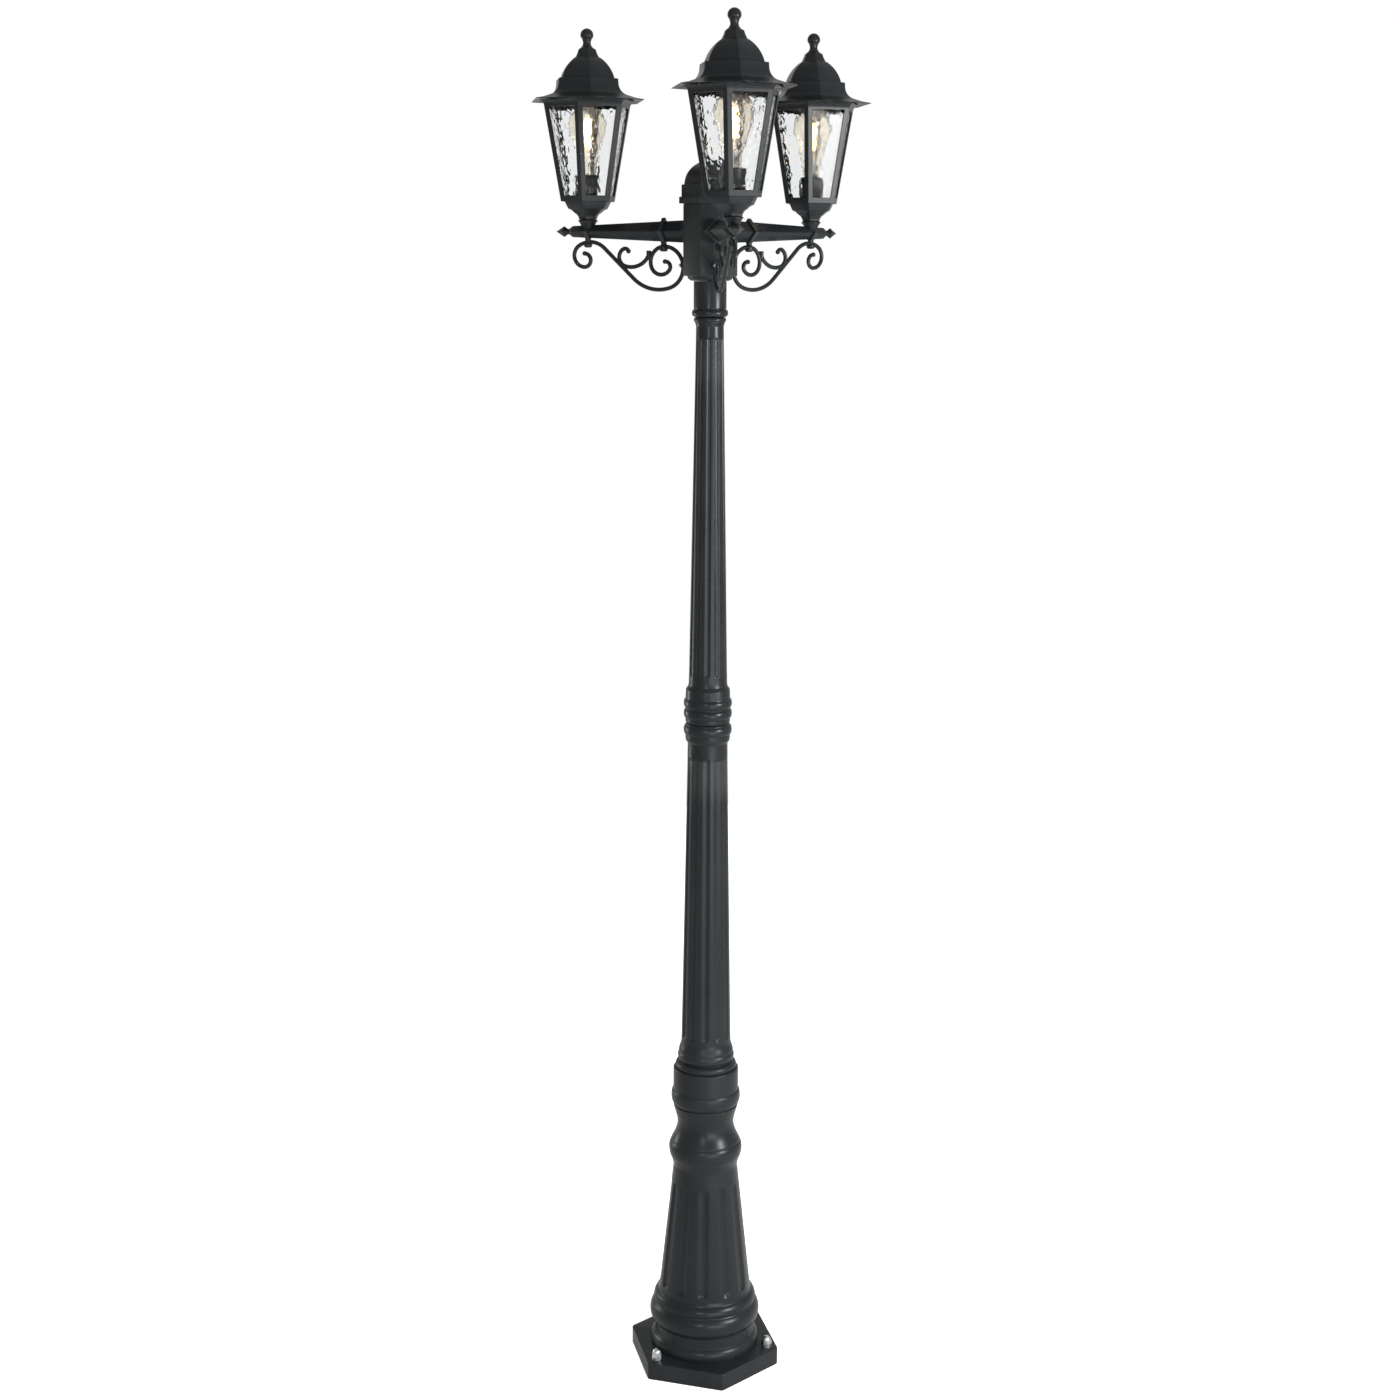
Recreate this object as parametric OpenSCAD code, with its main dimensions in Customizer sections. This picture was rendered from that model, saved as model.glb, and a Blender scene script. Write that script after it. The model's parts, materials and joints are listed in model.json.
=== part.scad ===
// Three-armed garden lamp post: hexagonal foot, fluted post in two lengths, six-sided head,
// three scrolled arms and three six-sided lanterns. Millimetres, +Z up, front arm towards -Y.

/* [Foot plate] */
// Half width of the six-sided foot across its corners
plate_r = 143; // [136:1:155]
// Height of the foot
plate_h = 32.5; // [28:0.5:45]
// Rounding of the foot's corners in plan
plate_corner = 7; // [2:0.5:12]
// Wall of the foot casting
plate_wall = 8; // [6:0.5:10]
// Radius of the anchor bolt circle
anchor_circle_r = 121; // [118:0.5:123]
// Radius of the anchor holes
anchor_hole_r = 5.5; // [5.4:0.1:6.5]
// Radius of the cable hole in the foot
entry_hole_r = 12; // [10:0.5:15]
// Bore of the cable bush
bush_bore_r = 7; // [5:0.5:8.5]
// Turn of the foot about the post, from the front arm
foot_turn = 4.8; // [0:0.1:12]

/* [Base column] */
// Height of the bell-shaped base column
column_h = 472; // [440:1:520]
// Largest radius of the foot moulding
torus_r = 101.6; // [99:0.1:106]
// Radius of the bell at its foot
bell_foot_r = 84.3; // [82:0.1:87]
// Radius of the bell at its top
bell_top_r = 59.6; // [57:0.1:62]
// Radius of the bulb above the bell
bulb_r = 66.8; // [63:0.1:70]
// Radius of the neck above the bulb
neck_r = 51.6; // [50:0.1:54]

/* [Collar] */
// Radius of the collar between base column and shaft
collar_r = 59.4; // [57:0.1:62]
// Height of the collar
collar_h = 71; // [60:1:95]

/* [Shafts] */
// Length of the lower shaft with its end mouldings
lower_len = 643.5; // [560:0.5:760]
// Radius of the lower shaft at its foot
lower_foot_r = 45; // [44:0.1:47]
// Radius of the lower shaft at its top
lower_top_r = 35.2; // [34.5:0.1:36.5]
// Length of the upper shaft with its end mouldings
upper_len = 704; // [620:0.5:820]
// Radius of the upper shaft at its foot
upper_foot_r = 33.8; // [33:0.1:34.5]
// Radius of the upper shaft at its top
upper_top_r = 23.6; // [23.2:0.1:25]
// Largest radius of the rings at the shaft joint
joint_ring_r = 42.5; // [41.5:0.1:45]
// Number of flutes round each member
flute_count = 12; // [8:1:12]
// Turn of the flutes about the post, from the front arm
flute_turn = -11; // [-15:0.5:15]
// Wall left beside the flutes
shaft_wall = 5; // [4.5:0.1:6]

/* [Head] */
// Radius of the round socket under the head
socket_r = 27.9; // [26.5:0.1:29]
// Height of the socket
socket_h = 60; // [50:1:75]
// Half width of the six-sided head across its corners
head_r = 46.6; // [45:0.1:50]
// Height of the head under its lid
head_h = 127; // [115:1:150]
// Wall of the head casting
head_wall = 4.5; // [4:0.1:5.5]
// Height of the arm axis above the foot of the head
arm_rise = 82; // [72:0.5:90]
// Half width of the lid's flange across its corners
lid_r = 53.9; // [52:0.1:58]
// Height of the lid's dome
dome_h = 40; // [30:0.5:55]

/* [Arms] */
// Distance from the post axis to each lantern axis
reach = 226; // [218:0.5:235]
// Half height of the arm section at the head
arm_half_root = 19; // [17.5:0.1:20]
// Half height of the arm section at its outer end
arm_half_end = 9.9; // [9.2:0.1:11]
// Arm length past the lantern axis
arm_over = 29; // [25:0.5:35]
// Distance from the post axis to the inner strap
strap_reach = 85; // [80:0.5:95]
// Thickness of the strap
strap_t = 3.6; // [2.5:0.1:4.5]
// Width of the strap along the arm
strap_w = 7; // [5:0.5:10]
// Radius of the scroll bar
bar_r = 3.5; // [3:0.1:3.8]

/* [Lantern] */
// Half width of the stepped cup across its corners
cup_r = 42; // [39:0.5:46]
// Height of the stepped cup
cup_h = 30; // [26:0.5:36]
// Height of the stem between arm axis and cup
stem_h = 20; // [18:0.5:26]
// Half width of the glazed frame at its foot
frame_foot_r = 48.6; // [47:0.1:50]
// Half width of the glazed frame at its top
frame_top_r = 77.3; // [75:0.1:79]
// Height of the glazed frame
frame_h = 167; // [160:1:185]
// Wall of the frame casting
frame_wall = 3; // [2.4:0.1:3.6]
// Width of each glazing bar from its corner
stile_w = 8.4; // [7:0.1:10]
// Turn of the glazed frame on its cup, from the arm
frame_turn = -17.5; // [-25:0.5:25]
// Thickness of the glass panes
pane_t = 3; // [2.5:0.1:3.5]

/* [Roof] */
// Half width of the eaves across their corners
eave_r = 105.5; // [103:0.5:110]
// Height of the roof from eaves to finial
roof_h = 84; // [80:0.5:90]
// Thickness of the roof shell
roof_t = 2.5; // [2:0.1:3]
// Radius of the finial ball
ball_r = 11; // [10:0.1:12]

/* [Lamp] */
// Radius of the lampholder
holder_r = 20.5; // [18:0.5:22]
// Radius of the bulb's screw cap
cap_r = 13.1; // [12.9:0.1:13.2]
// Largest radius of the bulb
bulb_glass_r = 32; // [27:0.5:33]
// Length of the bulb's glass
bulb_glass_h = 115; // [100:1:118]
// Wall of the bulb's glass
bulb_wall = 1; // [0.8:0.1:1.4]

/* [Clearances] */
// Radial clearance of spigots and tubes in their sockets
spigot_gap = 0.2; // [0.1:0.05:0.4]
// Radial clearance of threads and screws
thread_gap = 0.1; // [0.05:0.05:0.2]
// Gap under a piece that lifts off
lift_gap = 0.3; // [0.2:0.05:0.5]

/* [Hidden] */
$fn = 48;
ARMS = ["front", "right", "left"];
arm_turns = [-90, 30, 150];

// Heights at which the members of the post meet
column_z = plate_h;
collar_z = column_z + column_h;
lower_z = collar_z + collar_h;
upper_z = lower_z + lower_len;
socket_z = upper_z + upper_len;
head_z = socket_z + socket_h;
lid_z = head_z + head_h;
arm_z = head_z + arm_rise;

// Heights inside a lantern
cup_z = arm_z + stem_h;
frame_z = cup_z + cup_h;
roof_z = frame_z + frame_h;
finial_z = roof_z + roof_h;

paint = "#2e3033";
zinc = "#c8cacc";
brass = "#b99a52";
black_plastic = "#1c1c1d";

hex_flat = cos(30);
flute_step = 360 / flute_count;

// Points along an arc or a quarter of an ellipse about a centre
function arc(c, rx, rz, from, to, n = 8) =
    [for (i = [0:n]) let (a = from + (to - from) * i / n) [c[0] + rx * cos(a), c[1] + rz * sin(a)]];

// Points of a bead: a shallow bulge between two heights
function bead(r, bulge, low, high, n = 8) =
    [for (i = [0:n]) let (a = 180 * i / n) [r + bulge * sin(a), (low + high) / 2 - (high - low) / 2 * cos(a)]];

// A six-sided outline of half width r across its corners, with rounded corners
function hex_outline(r, rounding, n = 5) =
    [for (k = [0:5], i = [0:n])
        let (a = 60 * k - 30 + 60 * i / n, c = r - rounding / hex_flat)
        c * [cos(60 * k), sin(60 * k)] + rounding * [cos(a), sin(a)]];

module turned(points) {
    rotate_extrude() polygon(points);
}

module six_sided(points) {
    rotate_extrude($fn = 6) polygon(points);
}

// Repeats its children round the post
module round_post(count, turn) {
    for (i = [0:count - 1]) rotate([0, 0, turn + 360 / count * i]) children();
}

// Places its children at a lantern's axis, with X pointing away from the post
module at_lantern(turn) {
    rotate([0, 0, turn]) translate([reach, 0, 0]) children();
}

// How far the round end of a flute's tool stands over its cone, so that the two cut cleanly
flute_end_over = 0.05;

// One round-ended flute: its floor lies a set depth under a cone from r_low to r_high
module flute(z_low, r_low, z_high, r_high, tool_low, tool_high, depth) {
    x_low = r_low - depth + tool_low;
    x_high = r_high - depth + tool_high;
    lean = atan((x_high - x_low) / (z_high - z_low));
    run = norm([x_high - x_low, z_high - z_low]);
    translate([x_low, 0, z_low]) {
        rotate([0, lean, 0]) cylinder(h = run, r1 = tool_low, r2 = tool_high);
        sphere(r = tool_low + flute_end_over);
    }
    translate([x_high, 0, z_high]) sphere(r = tool_high + flute_end_over);
}

module flutes(z_low, r_low, z_high, r_high, tool_low, tool_high, depth) {
    for (i = [0:flute_count - 1]) rotate([0, 0, -90 + flute_turn + flute_step * i])
        flute(z_low, r_low, z_high, r_high, tool_low, tool_high, depth);
}

/* Foot */
plate_turn = -90 + foot_turn;
column_bolt_r = 3;
column_bolt_head_r = 5;
column_bolt_head_h = 4;
column_bolt_circle_r = 89;
column_bolt_reach = 11;
boss_wall = 7;
terminal_post_r = 5;
terminal_post_x = 22;
terminal_post_h = 48;
terminal_size = [60, 26, 18];

module base_plate() {
    color(paint) {
        difference() {
            linear_extrude(plate_h) rotate(plate_turn) polygon(hex_outline(plate_r, plate_corner));
            difference() {
                translate([0, 0, -1]) linear_extrude(plate_h - plate_wall + 1) rotate(plate_turn)
                    polygon(hex_outline(plate_r - plate_wall / hex_flat, plate_corner - 1));
                round_post(3, plate_turn + 60) translate([anchor_circle_r, 0, -1])
                    cylinder(h = plate_h, r = anchor_hole_r + boss_wall);
                translate([0, 0, plate_h - plate_wall - 6]) cylinder(h = 8, r = entry_hole_r + boss_wall);
            }
            round_post(3, plate_turn + 60) translate([anchor_circle_r, 0, -2])
                cylinder(h = plate_h + 4, r = anchor_hole_r);
            round_post(3, plate_turn) translate([column_bolt_circle_r, 0, -2])
                cylinder(h = plate_h + 4, r = column_bolt_r + thread_gap);
            translate([0, 0, -2]) cylinder(h = plate_h + 4, r = entry_hole_r);
            translate([0, 0, -2]) cylinder(h = plate_h - plate_wall + 2, r = entry_hole_r + 4);
        }
        for (side = [-1, 1]) translate([side * terminal_post_x, 0, plate_h])
            cylinder(h = terminal_post_h, r = terminal_post_r);
    }
}

module cable_bush() {
    flange = 3;
    color(black_plastic) translate([0, 0, plate_h - plate_wall]) turned([
        [bush_bore_r, -flange], [entry_hole_r + 3.5, -flange], [entry_hole_r + 3.5, 0], [entry_hole_r, 0],
        [entry_hole_r, plate_wall], [entry_hole_r + 3.5, plate_wall],
        [entry_hole_r + 2, plate_wall + flange], [bush_bore_r, plate_wall + flange]]);
}

module column_bolts() {
    color(zinc) round_post(3, plate_turn) translate([column_bolt_circle_r, 0, plate_h - plate_wall]) {
        translate([0, 0, -column_bolt_head_h]) difference() {
            cylinder(h = column_bolt_head_h, r = column_bolt_head_r);
            translate([0, 0, -1]) cylinder(h = 3, r = 2.5, $fn = 6);
        }
        cylinder(h = plate_wall + column_bolt_reach, r = column_bolt_r);
    }
}

washer_r = 9.2;
washer_t = 3;
nut_flat = 17;
nut_h = 10.5;
nut_dome_r = 7.8;
anchor_thread_r = 5;

module anchor_washers() {
    color(zinc) round_post(3, plate_turn + 60) translate([anchor_circle_r, 0, plate_h]) difference() {
        cylinder(h = washer_t, r = washer_r);
        translate([0, 0, -1]) cylinder(h = washer_t + 2, r = anchor_thread_r + 0.3);
    }
}

module anchor_nuts() {
    color(zinc) round_post(3, plate_turn + 60) translate([anchor_circle_r, 0, plate_h + washer_t]) difference() {
        union() {
            rotate(12) cylinder(h = nut_h, r = nut_flat / 2 / hex_flat, $fn = 6);
            translate([0, 0, nut_h]) intersection() {
                sphere(r = nut_dome_r);
                cylinder(h = nut_dome_r + 1, r = nut_dome_r);
            }
        }
        translate([0, 0, -1]) cylinder(h = nut_h + 5, r = anchor_thread_r);
    }
}

module base_terminal() {
    color(black_plastic) translate([-terminal_size[0] / 2, -terminal_size[1] / 2, plate_h + terminal_post_h])
        difference() {
            cube(terminal_size);
            for (i = [0:2]) translate([12 + 18 * i, -1, 8])
                rotate([-90, 0, 0]) cylinder(h = 9, r = 2.6);
        }
}

/* Base column, heights from the top of the foot */
spigot_r = 38;
spigot_wall = 7;
spigot_seat = 64;
foot_ring_r = 100;
foot_ring_z = 7.5;
foot_ring_h = 41;
groove_r = 92;
torus_z = 64.5;
bell_z = 111;
bell_h = 233;
bulb_z = 387;
neck_z = 433.5;
cove_z = column_h - 32;
bell_flute_depth = 3.6;

// The column's outer line: foot bead and cove, double bead, bell, bulb, neck and flare
function column_outside() = concat(
    [[foot_ring_r - 1.2, 0]],
    arc([foot_ring_r - 14, foot_ring_z], 14, 17, -22, 62, 6),
    [[groove_r + 0.4, foot_ring_z + 16.5], [groove_r, foot_ring_z + 23], [groove_r, foot_ring_h + 3]],
    arc([torus_r - 11, torus_z], 11, 21, -75, 0, 5),
    arc([torus_r - 22, torus_z], 22, 24, 6, 50, 5),
    [[torus_r - 8.9, torus_z + 20.5]],
    arc([torus_r - 22, torus_z + 23.5], 15.3, 18, 3, 62, 6),
    [[bell_foot_r + 1.3, bell_z - 3.6]],
    [[bell_foot_r, bell_z], [bell_top_r, bell_z + bell_h], [bell_top_r - 0.8, bell_z + bell_h + 9.5]],
    arc([bulb_r - 11, bulb_z], 11, 24, -55, 0, 5),
    arc([bulb_r - 11, bulb_z], 11, 17, 8, 48, 4),
    [[bulb_r - 4.6, bulb_z + 13.8], [bulb_r - 4.3, bulb_z + 15.4], [bulb_r - 6.7, bulb_z + 19.8]],
    [[bulb_r - 9.3, bulb_z + 25], [neck_r + 3.6, neck_z - 15.5], [neck_r + 1.6, neck_z - 9]],
    [[neck_r + 0.6, neck_z - 4.5], [neck_r, neck_z], [neck_r, cove_z], [neck_r + 1.6, cove_z + 8], [collar_r - 3.4, cove_z + 18]],
    [[collar_r - 1, cove_z + 27], [collar_r, column_h]]);

function column_inside() = [
    [spigot_r + spigot_gap, column_h],
    [spigot_r + spigot_gap, column_h - spigot_seat],
    [spigot_r - 4, column_h - spigot_seat],
    [spigot_r - 4, column_h - spigot_seat - 6],
    [bell_top_r - 12, bell_z + bell_h - 14],
    [bell_foot_r - 12, bell_z],
    [foot_ring_r - 18, foot_ring_h - 27],
    [foot_ring_r - 21, foot_ring_h - 27],
    [foot_ring_r - 21, 0]];

module base_column() {
    lean = (bell_foot_r - bell_top_r) / bell_h;
    flute_low = bell_z + 18;
    flute_high = bell_z + bell_h - 28;
    color(paint) translate([0, 0, column_z]) difference() {
        turned(concat(column_outside(), column_inside()));
        flutes(flute_low, bell_foot_r - 18 * lean, flute_high, bell_foot_r - lean * (flute_high - bell_z),
            17, 14, bell_flute_depth);
        round_post(3, plate_turn) translate([column_bolt_circle_r, 0, -1])
            cylinder(h = column_bolt_reach + 2, r = column_bolt_r + thread_gap);
    }
}

/* Collar */
collar_screw_z = collar_h - 20;

module neck_collar() {
    inner = spigot_r + spigot_gap;
    color(paint) translate([0, 0, collar_z]) difference() {
        turned(concat(
            [[inner, 0], [collar_r - 1, 0], [collar_r - 1, 2], [collar_r, 2.6]],
            bead(collar_r, 3.6, 3, 28.5),
            arc([collar_r - 3.5, collar_h - 3.5], 3.5, 3.5, 0, 90, 4),
            [[inner, collar_h]]));
        grub_holes(collar_screw_z, collar_r, inner);
    }
}

module lower_spigot() {
    color(zinc) translate([0, 0, collar_z - spigot_seat]) difference() {
        cylinder(h = spigot_seat + collar_h + lower_seat, r = spigot_r);
        translate([0, 0, -1]) cylinder(h = spigot_seat + collar_h + lower_seat + 2, r = spigot_r - spigot_wall);
    }
}

/* Set screws, two to a joint on the rear side */
grub_r = 2.5;
grub_turns = [55, 125];
grub_recess = 0.8;

module grub_holes(z, outer, inner) {
    for (turn = grub_turns) rotate([0, 0, turn]) translate([inner - 2, 0, z]) rotate([0, 90, 0])
        cylinder(h = outer - inner + 8, r = grub_r + thread_gap);
}

module grub_pair(z, outer, inner) {
    for (turn = grub_turns) rotate([0, 0, turn]) translate([inner + 0.1, 0, z]) rotate([0, 90, 0]) difference() {
        cylinder(h = outer - inner - 0.1 - grub_recess, r = grub_r);
        translate([0, 0, outer - inner - grub_recess - 2.6]) cylinder(h = 4, r = 1.45, $fn = 6);
    }
}

module grub_screws() {
    color(zinc) {
        translate([0, 0, collar_z]) grub_pair(collar_screw_z, collar_r, spigot_r);
        translate([0, 0, upper_z]) grub_pair(joint_screw_z, joint_band_r, joint_spigot_r);
        translate([0, 0, socket_z]) grub_pair(socket_screw_z, socket_r, tenon_r);
    }
}

/* Lower shaft, heights from the top of the collar */
lower_seat = 54;
lower_foot_z = 49;
foot_bead_r = 55.5;
lower_top_z = lower_len - 36.5;
joint_band_r = 39.4;
joint_spigot_r = 25;
joint_spigot_wall = 6;
joint_seat = 59;
lower_flute_depth = 2.5;

module lower_shaft() {
    bore = spigot_r + spigot_gap;
    lean = (lower_foot_r - lower_top_r) / (lower_top_z - lower_foot_z);
    flute_low = lower_foot_z + 17;
    flute_high = lower_top_z - 30;
    color(paint) translate([0, 0, lower_z]) difference() {
        turned(concat(
            [[bore, 0], [foot_bead_r - 0.9, 0]], arc([foot_bead_r - 6, 4.5], 6, 7.5, -20, 75, 6),
            [[lower_foot_r + 2.4, 13]], arc([lower_foot_r + 1.3, 23], 5, 9, -75, 45, 6),
            [[lower_foot_r + 4.2, 31.5], [lower_foot_r + 4.5, 33.5], [lower_foot_r + 3.4, 38]],
            [[lower_foot_r + 1.6, 43]],
            [[lower_foot_r, lower_foot_z], [lower_top_r, lower_top_z], [joint_band_r - 0.6, lower_top_z + 5]],
            [[joint_band_r, lower_top_z + 9], [joint_band_r, lower_top_z + 15]],
            bead(joint_band_r, joint_ring_r - joint_band_r, lower_top_z + 16, lower_len - 4),
            [[joint_band_r, lower_len - 3], [joint_band_r - 1.2, lower_len]],
            [[joint_spigot_r + spigot_gap, lower_len], [joint_spigot_r + spigot_gap, lower_len - joint_seat]],
            [[joint_spigot_r - 2, lower_len - joint_seat], [joint_spigot_r - 2, lower_len - joint_seat - 8]],
            [[lower_top_r - lower_flute_depth - shaft_wall, lower_len - joint_seat - 30]],
            [[lower_foot_r - lower_flute_depth - shaft_wall, lower_seat + 30]],
            [[bore - 3, lower_seat + 8], [bore - 3, lower_seat], [bore, lower_seat]]));
        flutes(flute_low, lower_foot_r - 17 * lean, flute_high, lower_top_r + 30 * lean, 11, 9, lower_flute_depth);
    }
}

module mid_spigot() {
    length = joint_seat + upper_seat;
    color(zinc) translate([0, 0, upper_z - joint_seat]) difference() {
        cylinder(h = length, r = joint_spigot_r);
        translate([0, 0, -1]) cylinder(h = length + 2, r = joint_spigot_r - joint_spigot_wall);
    }
}

/* Upper shaft, heights from the shaft joint */
upper_seat = 64;
joint_screw_z = 50;
upper_foot_z = 72;
upper_top_z = upper_len - 15;
tenon_r = 18;
tenon_h = 25;
upper_flute_depth = 2;

module upper_shaft() {
    bore = joint_spigot_r + spigot_gap;
    lean = (upper_foot_r - upper_top_r) / (upper_top_z - upper_foot_z);
    flute_low = upper_foot_z + 18;
    flute_high = upper_top_z - 23;
    color(paint) translate([0, 0, upper_z]) difference() {
        turned(concat(
            [[bore, 0], [joint_band_r - 1.2, 0], [joint_band_r, 2.5], [joint_band_r, 8]],
            bead(joint_band_r, joint_ring_r - joint_band_r, 9, 25),
            bead(joint_band_r + 0.6, joint_ring_r - joint_band_r - 0.6, 28.5, 42.5),
            [[joint_band_r, 44], [joint_band_r - 0.6, 60]],
            [[upper_foot_r + 0.8, 66], [upper_foot_r, upper_foot_z], [upper_top_r, upper_top_z]],
            [[upper_top_r + 2, upper_top_z + 6]],
            bead(upper_top_r + 2, 1.9, upper_top_z + 7, upper_len),
            [[tenon_r, upper_len], [tenon_r, upper_len + tenon_h]],
            [[tenon_r - 4, upper_len + tenon_h], [tenon_r - 4, upper_len - 6]],
            [[upper_top_r - upper_flute_depth - shaft_wall, upper_top_z - 30]],
            [[upper_foot_r - upper_flute_depth - shaft_wall, upper_seat + 30]],
            [[bore - 3, upper_seat + 8], [bore - 3, upper_seat], [bore, upper_seat]]));
        flutes(flute_low, upper_foot_r - 18 * lean, flute_high, upper_top_r + 23 * lean, 8, 6, upper_flute_depth);
        grub_holes(joint_screw_z, joint_band_r, bore);
    }
}

/* Socket under the head */
socket_screw_z = 18;
tube_r = 12;
tube_bore_r = 8;
tube_h = 67;

module top_socket() {
    bore = tenon_r + spigot_gap;
    color(paint) translate([0, 0, socket_z]) difference() {
        turned(concat(
            [[bore, 0], [socket_r - 2, 0]],
            bead(socket_r - 0.7, 3.7, 1, 13),
            [[socket_r, 15], [socket_r, socket_h], [tube_r, socket_h], [tube_r, socket_h + tube_h]],
            [[tube_bore_r, socket_h + tube_h], [tube_bore_r, tenon_h + 2], [bore, tenon_h + 2]]));
        grub_holes(socket_screw_z, socket_r, bore);
    }
}

/* Head */
head_bowl_h = 8.5;
head_floor = 5;
stub_r = 9;
head_inner_r = head_r - head_wall / hex_flat;
head_flat = head_r * hex_flat;
head_nut_r = 18;
head_nut_h = 8;
arm_nut_h = 6;
arm_nut_r = 14;
scroll_screw_r = 2;

module head_housing() {
    floor_z = head_bowl_h + head_floor;
    color(paint) translate([0, 0, head_z]) difference() {
        union() {
            turned(concat([[0, 0], [socket_r + 0.6, 0]],
                arc([head_flat - 11, head_bowl_h], 9, head_bowl_h - 0.5, -80, 0, 5), [[0, head_bowl_h]]));
            translate([0, 0, head_bowl_h]) cylinder(h = head_h - head_bowl_h, r = head_r, $fn = 6);
        }
        translate([0, 0, floor_z]) cylinder(h = head_h, r = head_inner_r, $fn = 6);
        translate([0, 0, -1]) cylinder(h = floor_z + 2, r = tube_r + thread_gap);
        for (turn = arm_turns) rotate([0, 0, turn]) {
            translate([head_flat - head_wall - 6, 0, arm_rise]) rotate([0, 90, 0])
                cylinder(h = head_wall + 12, r = stub_r + thread_gap);
            translate([head_flat - head_wall - 3, 0, arm_rise + scroll_screw_z]) rotate([0, 90, 0])
                cylinder(h = head_wall + 6, r = scroll_screw_r + thread_gap);
        }
    }
}

module head_nut() {
    color(zinc) translate([0, 0, head_z + head_bowl_h + head_floor]) difference() {
        cylinder(h = head_nut_h, r = head_nut_r, $fn = 6);
        translate([0, 0, -1]) cylinder(h = head_nut_h + 2, r = tube_r + thread_gap);
    }
}

head_terminal_r = 17;
head_terminal_h = 28;

module head_terminal() {
    color("#e9e6da") translate([0, 0, socket_z + socket_h + tube_h]) difference() {
        cylinder(h = head_terminal_h, r = head_terminal_r, $fn = 6);
        for (i = [0:2]) rotate([0, 0, 120 * i + 30]) translate([8, 0, head_terminal_h - 8])
            cylinder(h = 9, r = 2.4);
    }
}

gasket_t = 2;
lid_step_r = lid_r - 4.1;
dome_r = lid_r - 8.9;
lid_flange_h = 11.4;
lid_step_h = 20;
lid_t = 3.5;
lid_lip_h = 10;

module lid_gasket() {
    color(black_plastic) translate([0, 0, lid_z]) difference() {
        cylinder(h = gasket_t, r = head_r - 0.3, $fn = 6);
        translate([0, 0, -1]) cylinder(h = gasket_t + 2, r = head_inner_r, $fn = 6);
    }
}

module head_lid() {
    dome_z = lid_flange_h + lid_step_h;
    lip_r = head_inner_r - 0.5;
    color(paint) translate([0, 0, lid_z]) six_sided(concat(
        [[head_r + 0.3, 0], [lid_r, 0], [lid_r, lid_flange_h - 1], [lid_r - 1, lid_flange_h]],
        [[lid_step_r, lid_flange_h], [lid_step_r, dome_z - 1], [lid_step_r - 1, dome_z]],
        arc([0, dome_z], dome_r, dome_h, 0, 84, 12), [[0, dome_z + dome_h]],
        [[0, dome_z + dome_h - lid_t]], arc([0, dome_z], dome_r - lid_t, dome_h - lid_t, 84, 0, 12),
        [[dome_r - lid_t, gasket_t + 4], [lip_r - 2.5, gasket_t + 2], [lip_r - 2.5, -lid_lip_h]],
        [[lip_r, -lid_lip_h], [lip_r, gasket_t], [head_r + 0.3, gasket_t]]));
}

/* Arms, drawn along +X from the post axis at the height of the arm axis */
arm_end = reach + arm_over;
arm_collar_l = 8;
arm_collar_extra = 1.3;
arm_root = head_flat + arm_collar_l;
arm_taper = (arm_half_root - arm_half_end) / (arm_end - arm_root);
arm_chamfer_l = 7;
arm_tip_half = 5;
wire_bore_r = 4.5;
tip_stud_r = 3;
tip_stud_l = 12;
nipple_r = 5;
nipple_bore_r = 3.4;
pin_r = 3;
pin_l = 5;

// Half height of the arm at a distance from the post axis
function arm_half(x) = arm_half_root - arm_taper * (x - arm_root);

// A bar of square section standing on its edge, along X: points are [half height, distance]
module edge_bar(points) {
    rotate([0, 90, 0]) rotate_extrude($fn = 4) polygon(points);
}

module arm_body() {
    collar_half = arm_half_root + arm_collar_extra;
    edge_bar([[0, head_flat], [collar_half, head_flat], [collar_half, arm_root], [arm_half_root, arm_root],
        [arm_half_end, arm_end], [arm_tip_half, arm_end + arm_chamfer_l], [0, arm_end + arm_chamfer_l]]);
}

module arm(turn) {
    color(paint) rotate([0, 0, turn]) translate([0, 0, arm_z]) difference() {
        union() {
            arm_body();
            translate([head_flat - head_wall - arm_nut_h - 2, 0, 0]) rotate([0, 90, 0])
                cylinder(h = head_wall + arm_nut_h + 3, r = stub_r);
        }
        rotate([0, 90, 0]) cylinder(h = reach + wire_bore_r, r = wire_bore_r);
        translate([reach, 0, 0]) cylinder(h = arm_half_root, r = nipple_r + thread_gap);
        for (x = [reach, strap_reach]) translate([x, 0, -arm_half(x) - 1])
            cylinder(h = pin_l + 1, r = pin_r + thread_gap);
        translate([arm_end + arm_chamfer_l - tip_stud_l, 0, 0]) rotate([0, 90, 0])
            cylinder(h = tip_stud_l + 1, r = tip_stud_r + thread_gap);
    }
}

module arm_nuts() {
    color(zinc) for (turn = arm_turns) rotate([0, 0, turn])
        translate([head_flat - head_wall - arm_nut_h, 0, arm_z]) rotate([0, 90, 0]) difference() {
            cylinder(h = arm_nut_h, r = arm_nut_r, $fn = 6);
            translate([0, 0, -1]) cylinder(h = arm_nut_h + 2, r = stub_r + thread_gap);
        }
}

module arm_tip(turn) {
    start = arm_end + arm_chamfer_l;
    barb = 9.5;
    color(paint) rotate([0, 0, turn]) translate([0, 0, arm_z]) {
        edge_bar([[0, start], [arm_tip_half, start], [arm_tip_half, start + 2], [barb, start + 9], [0, start + 24]]);
        translate([start - tip_stud_l + 2, 0, 0]) rotate([0, 90, 0]) cylinder(h = tip_stud_l - 1, r = tip_stud_r);
    }
}

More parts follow.
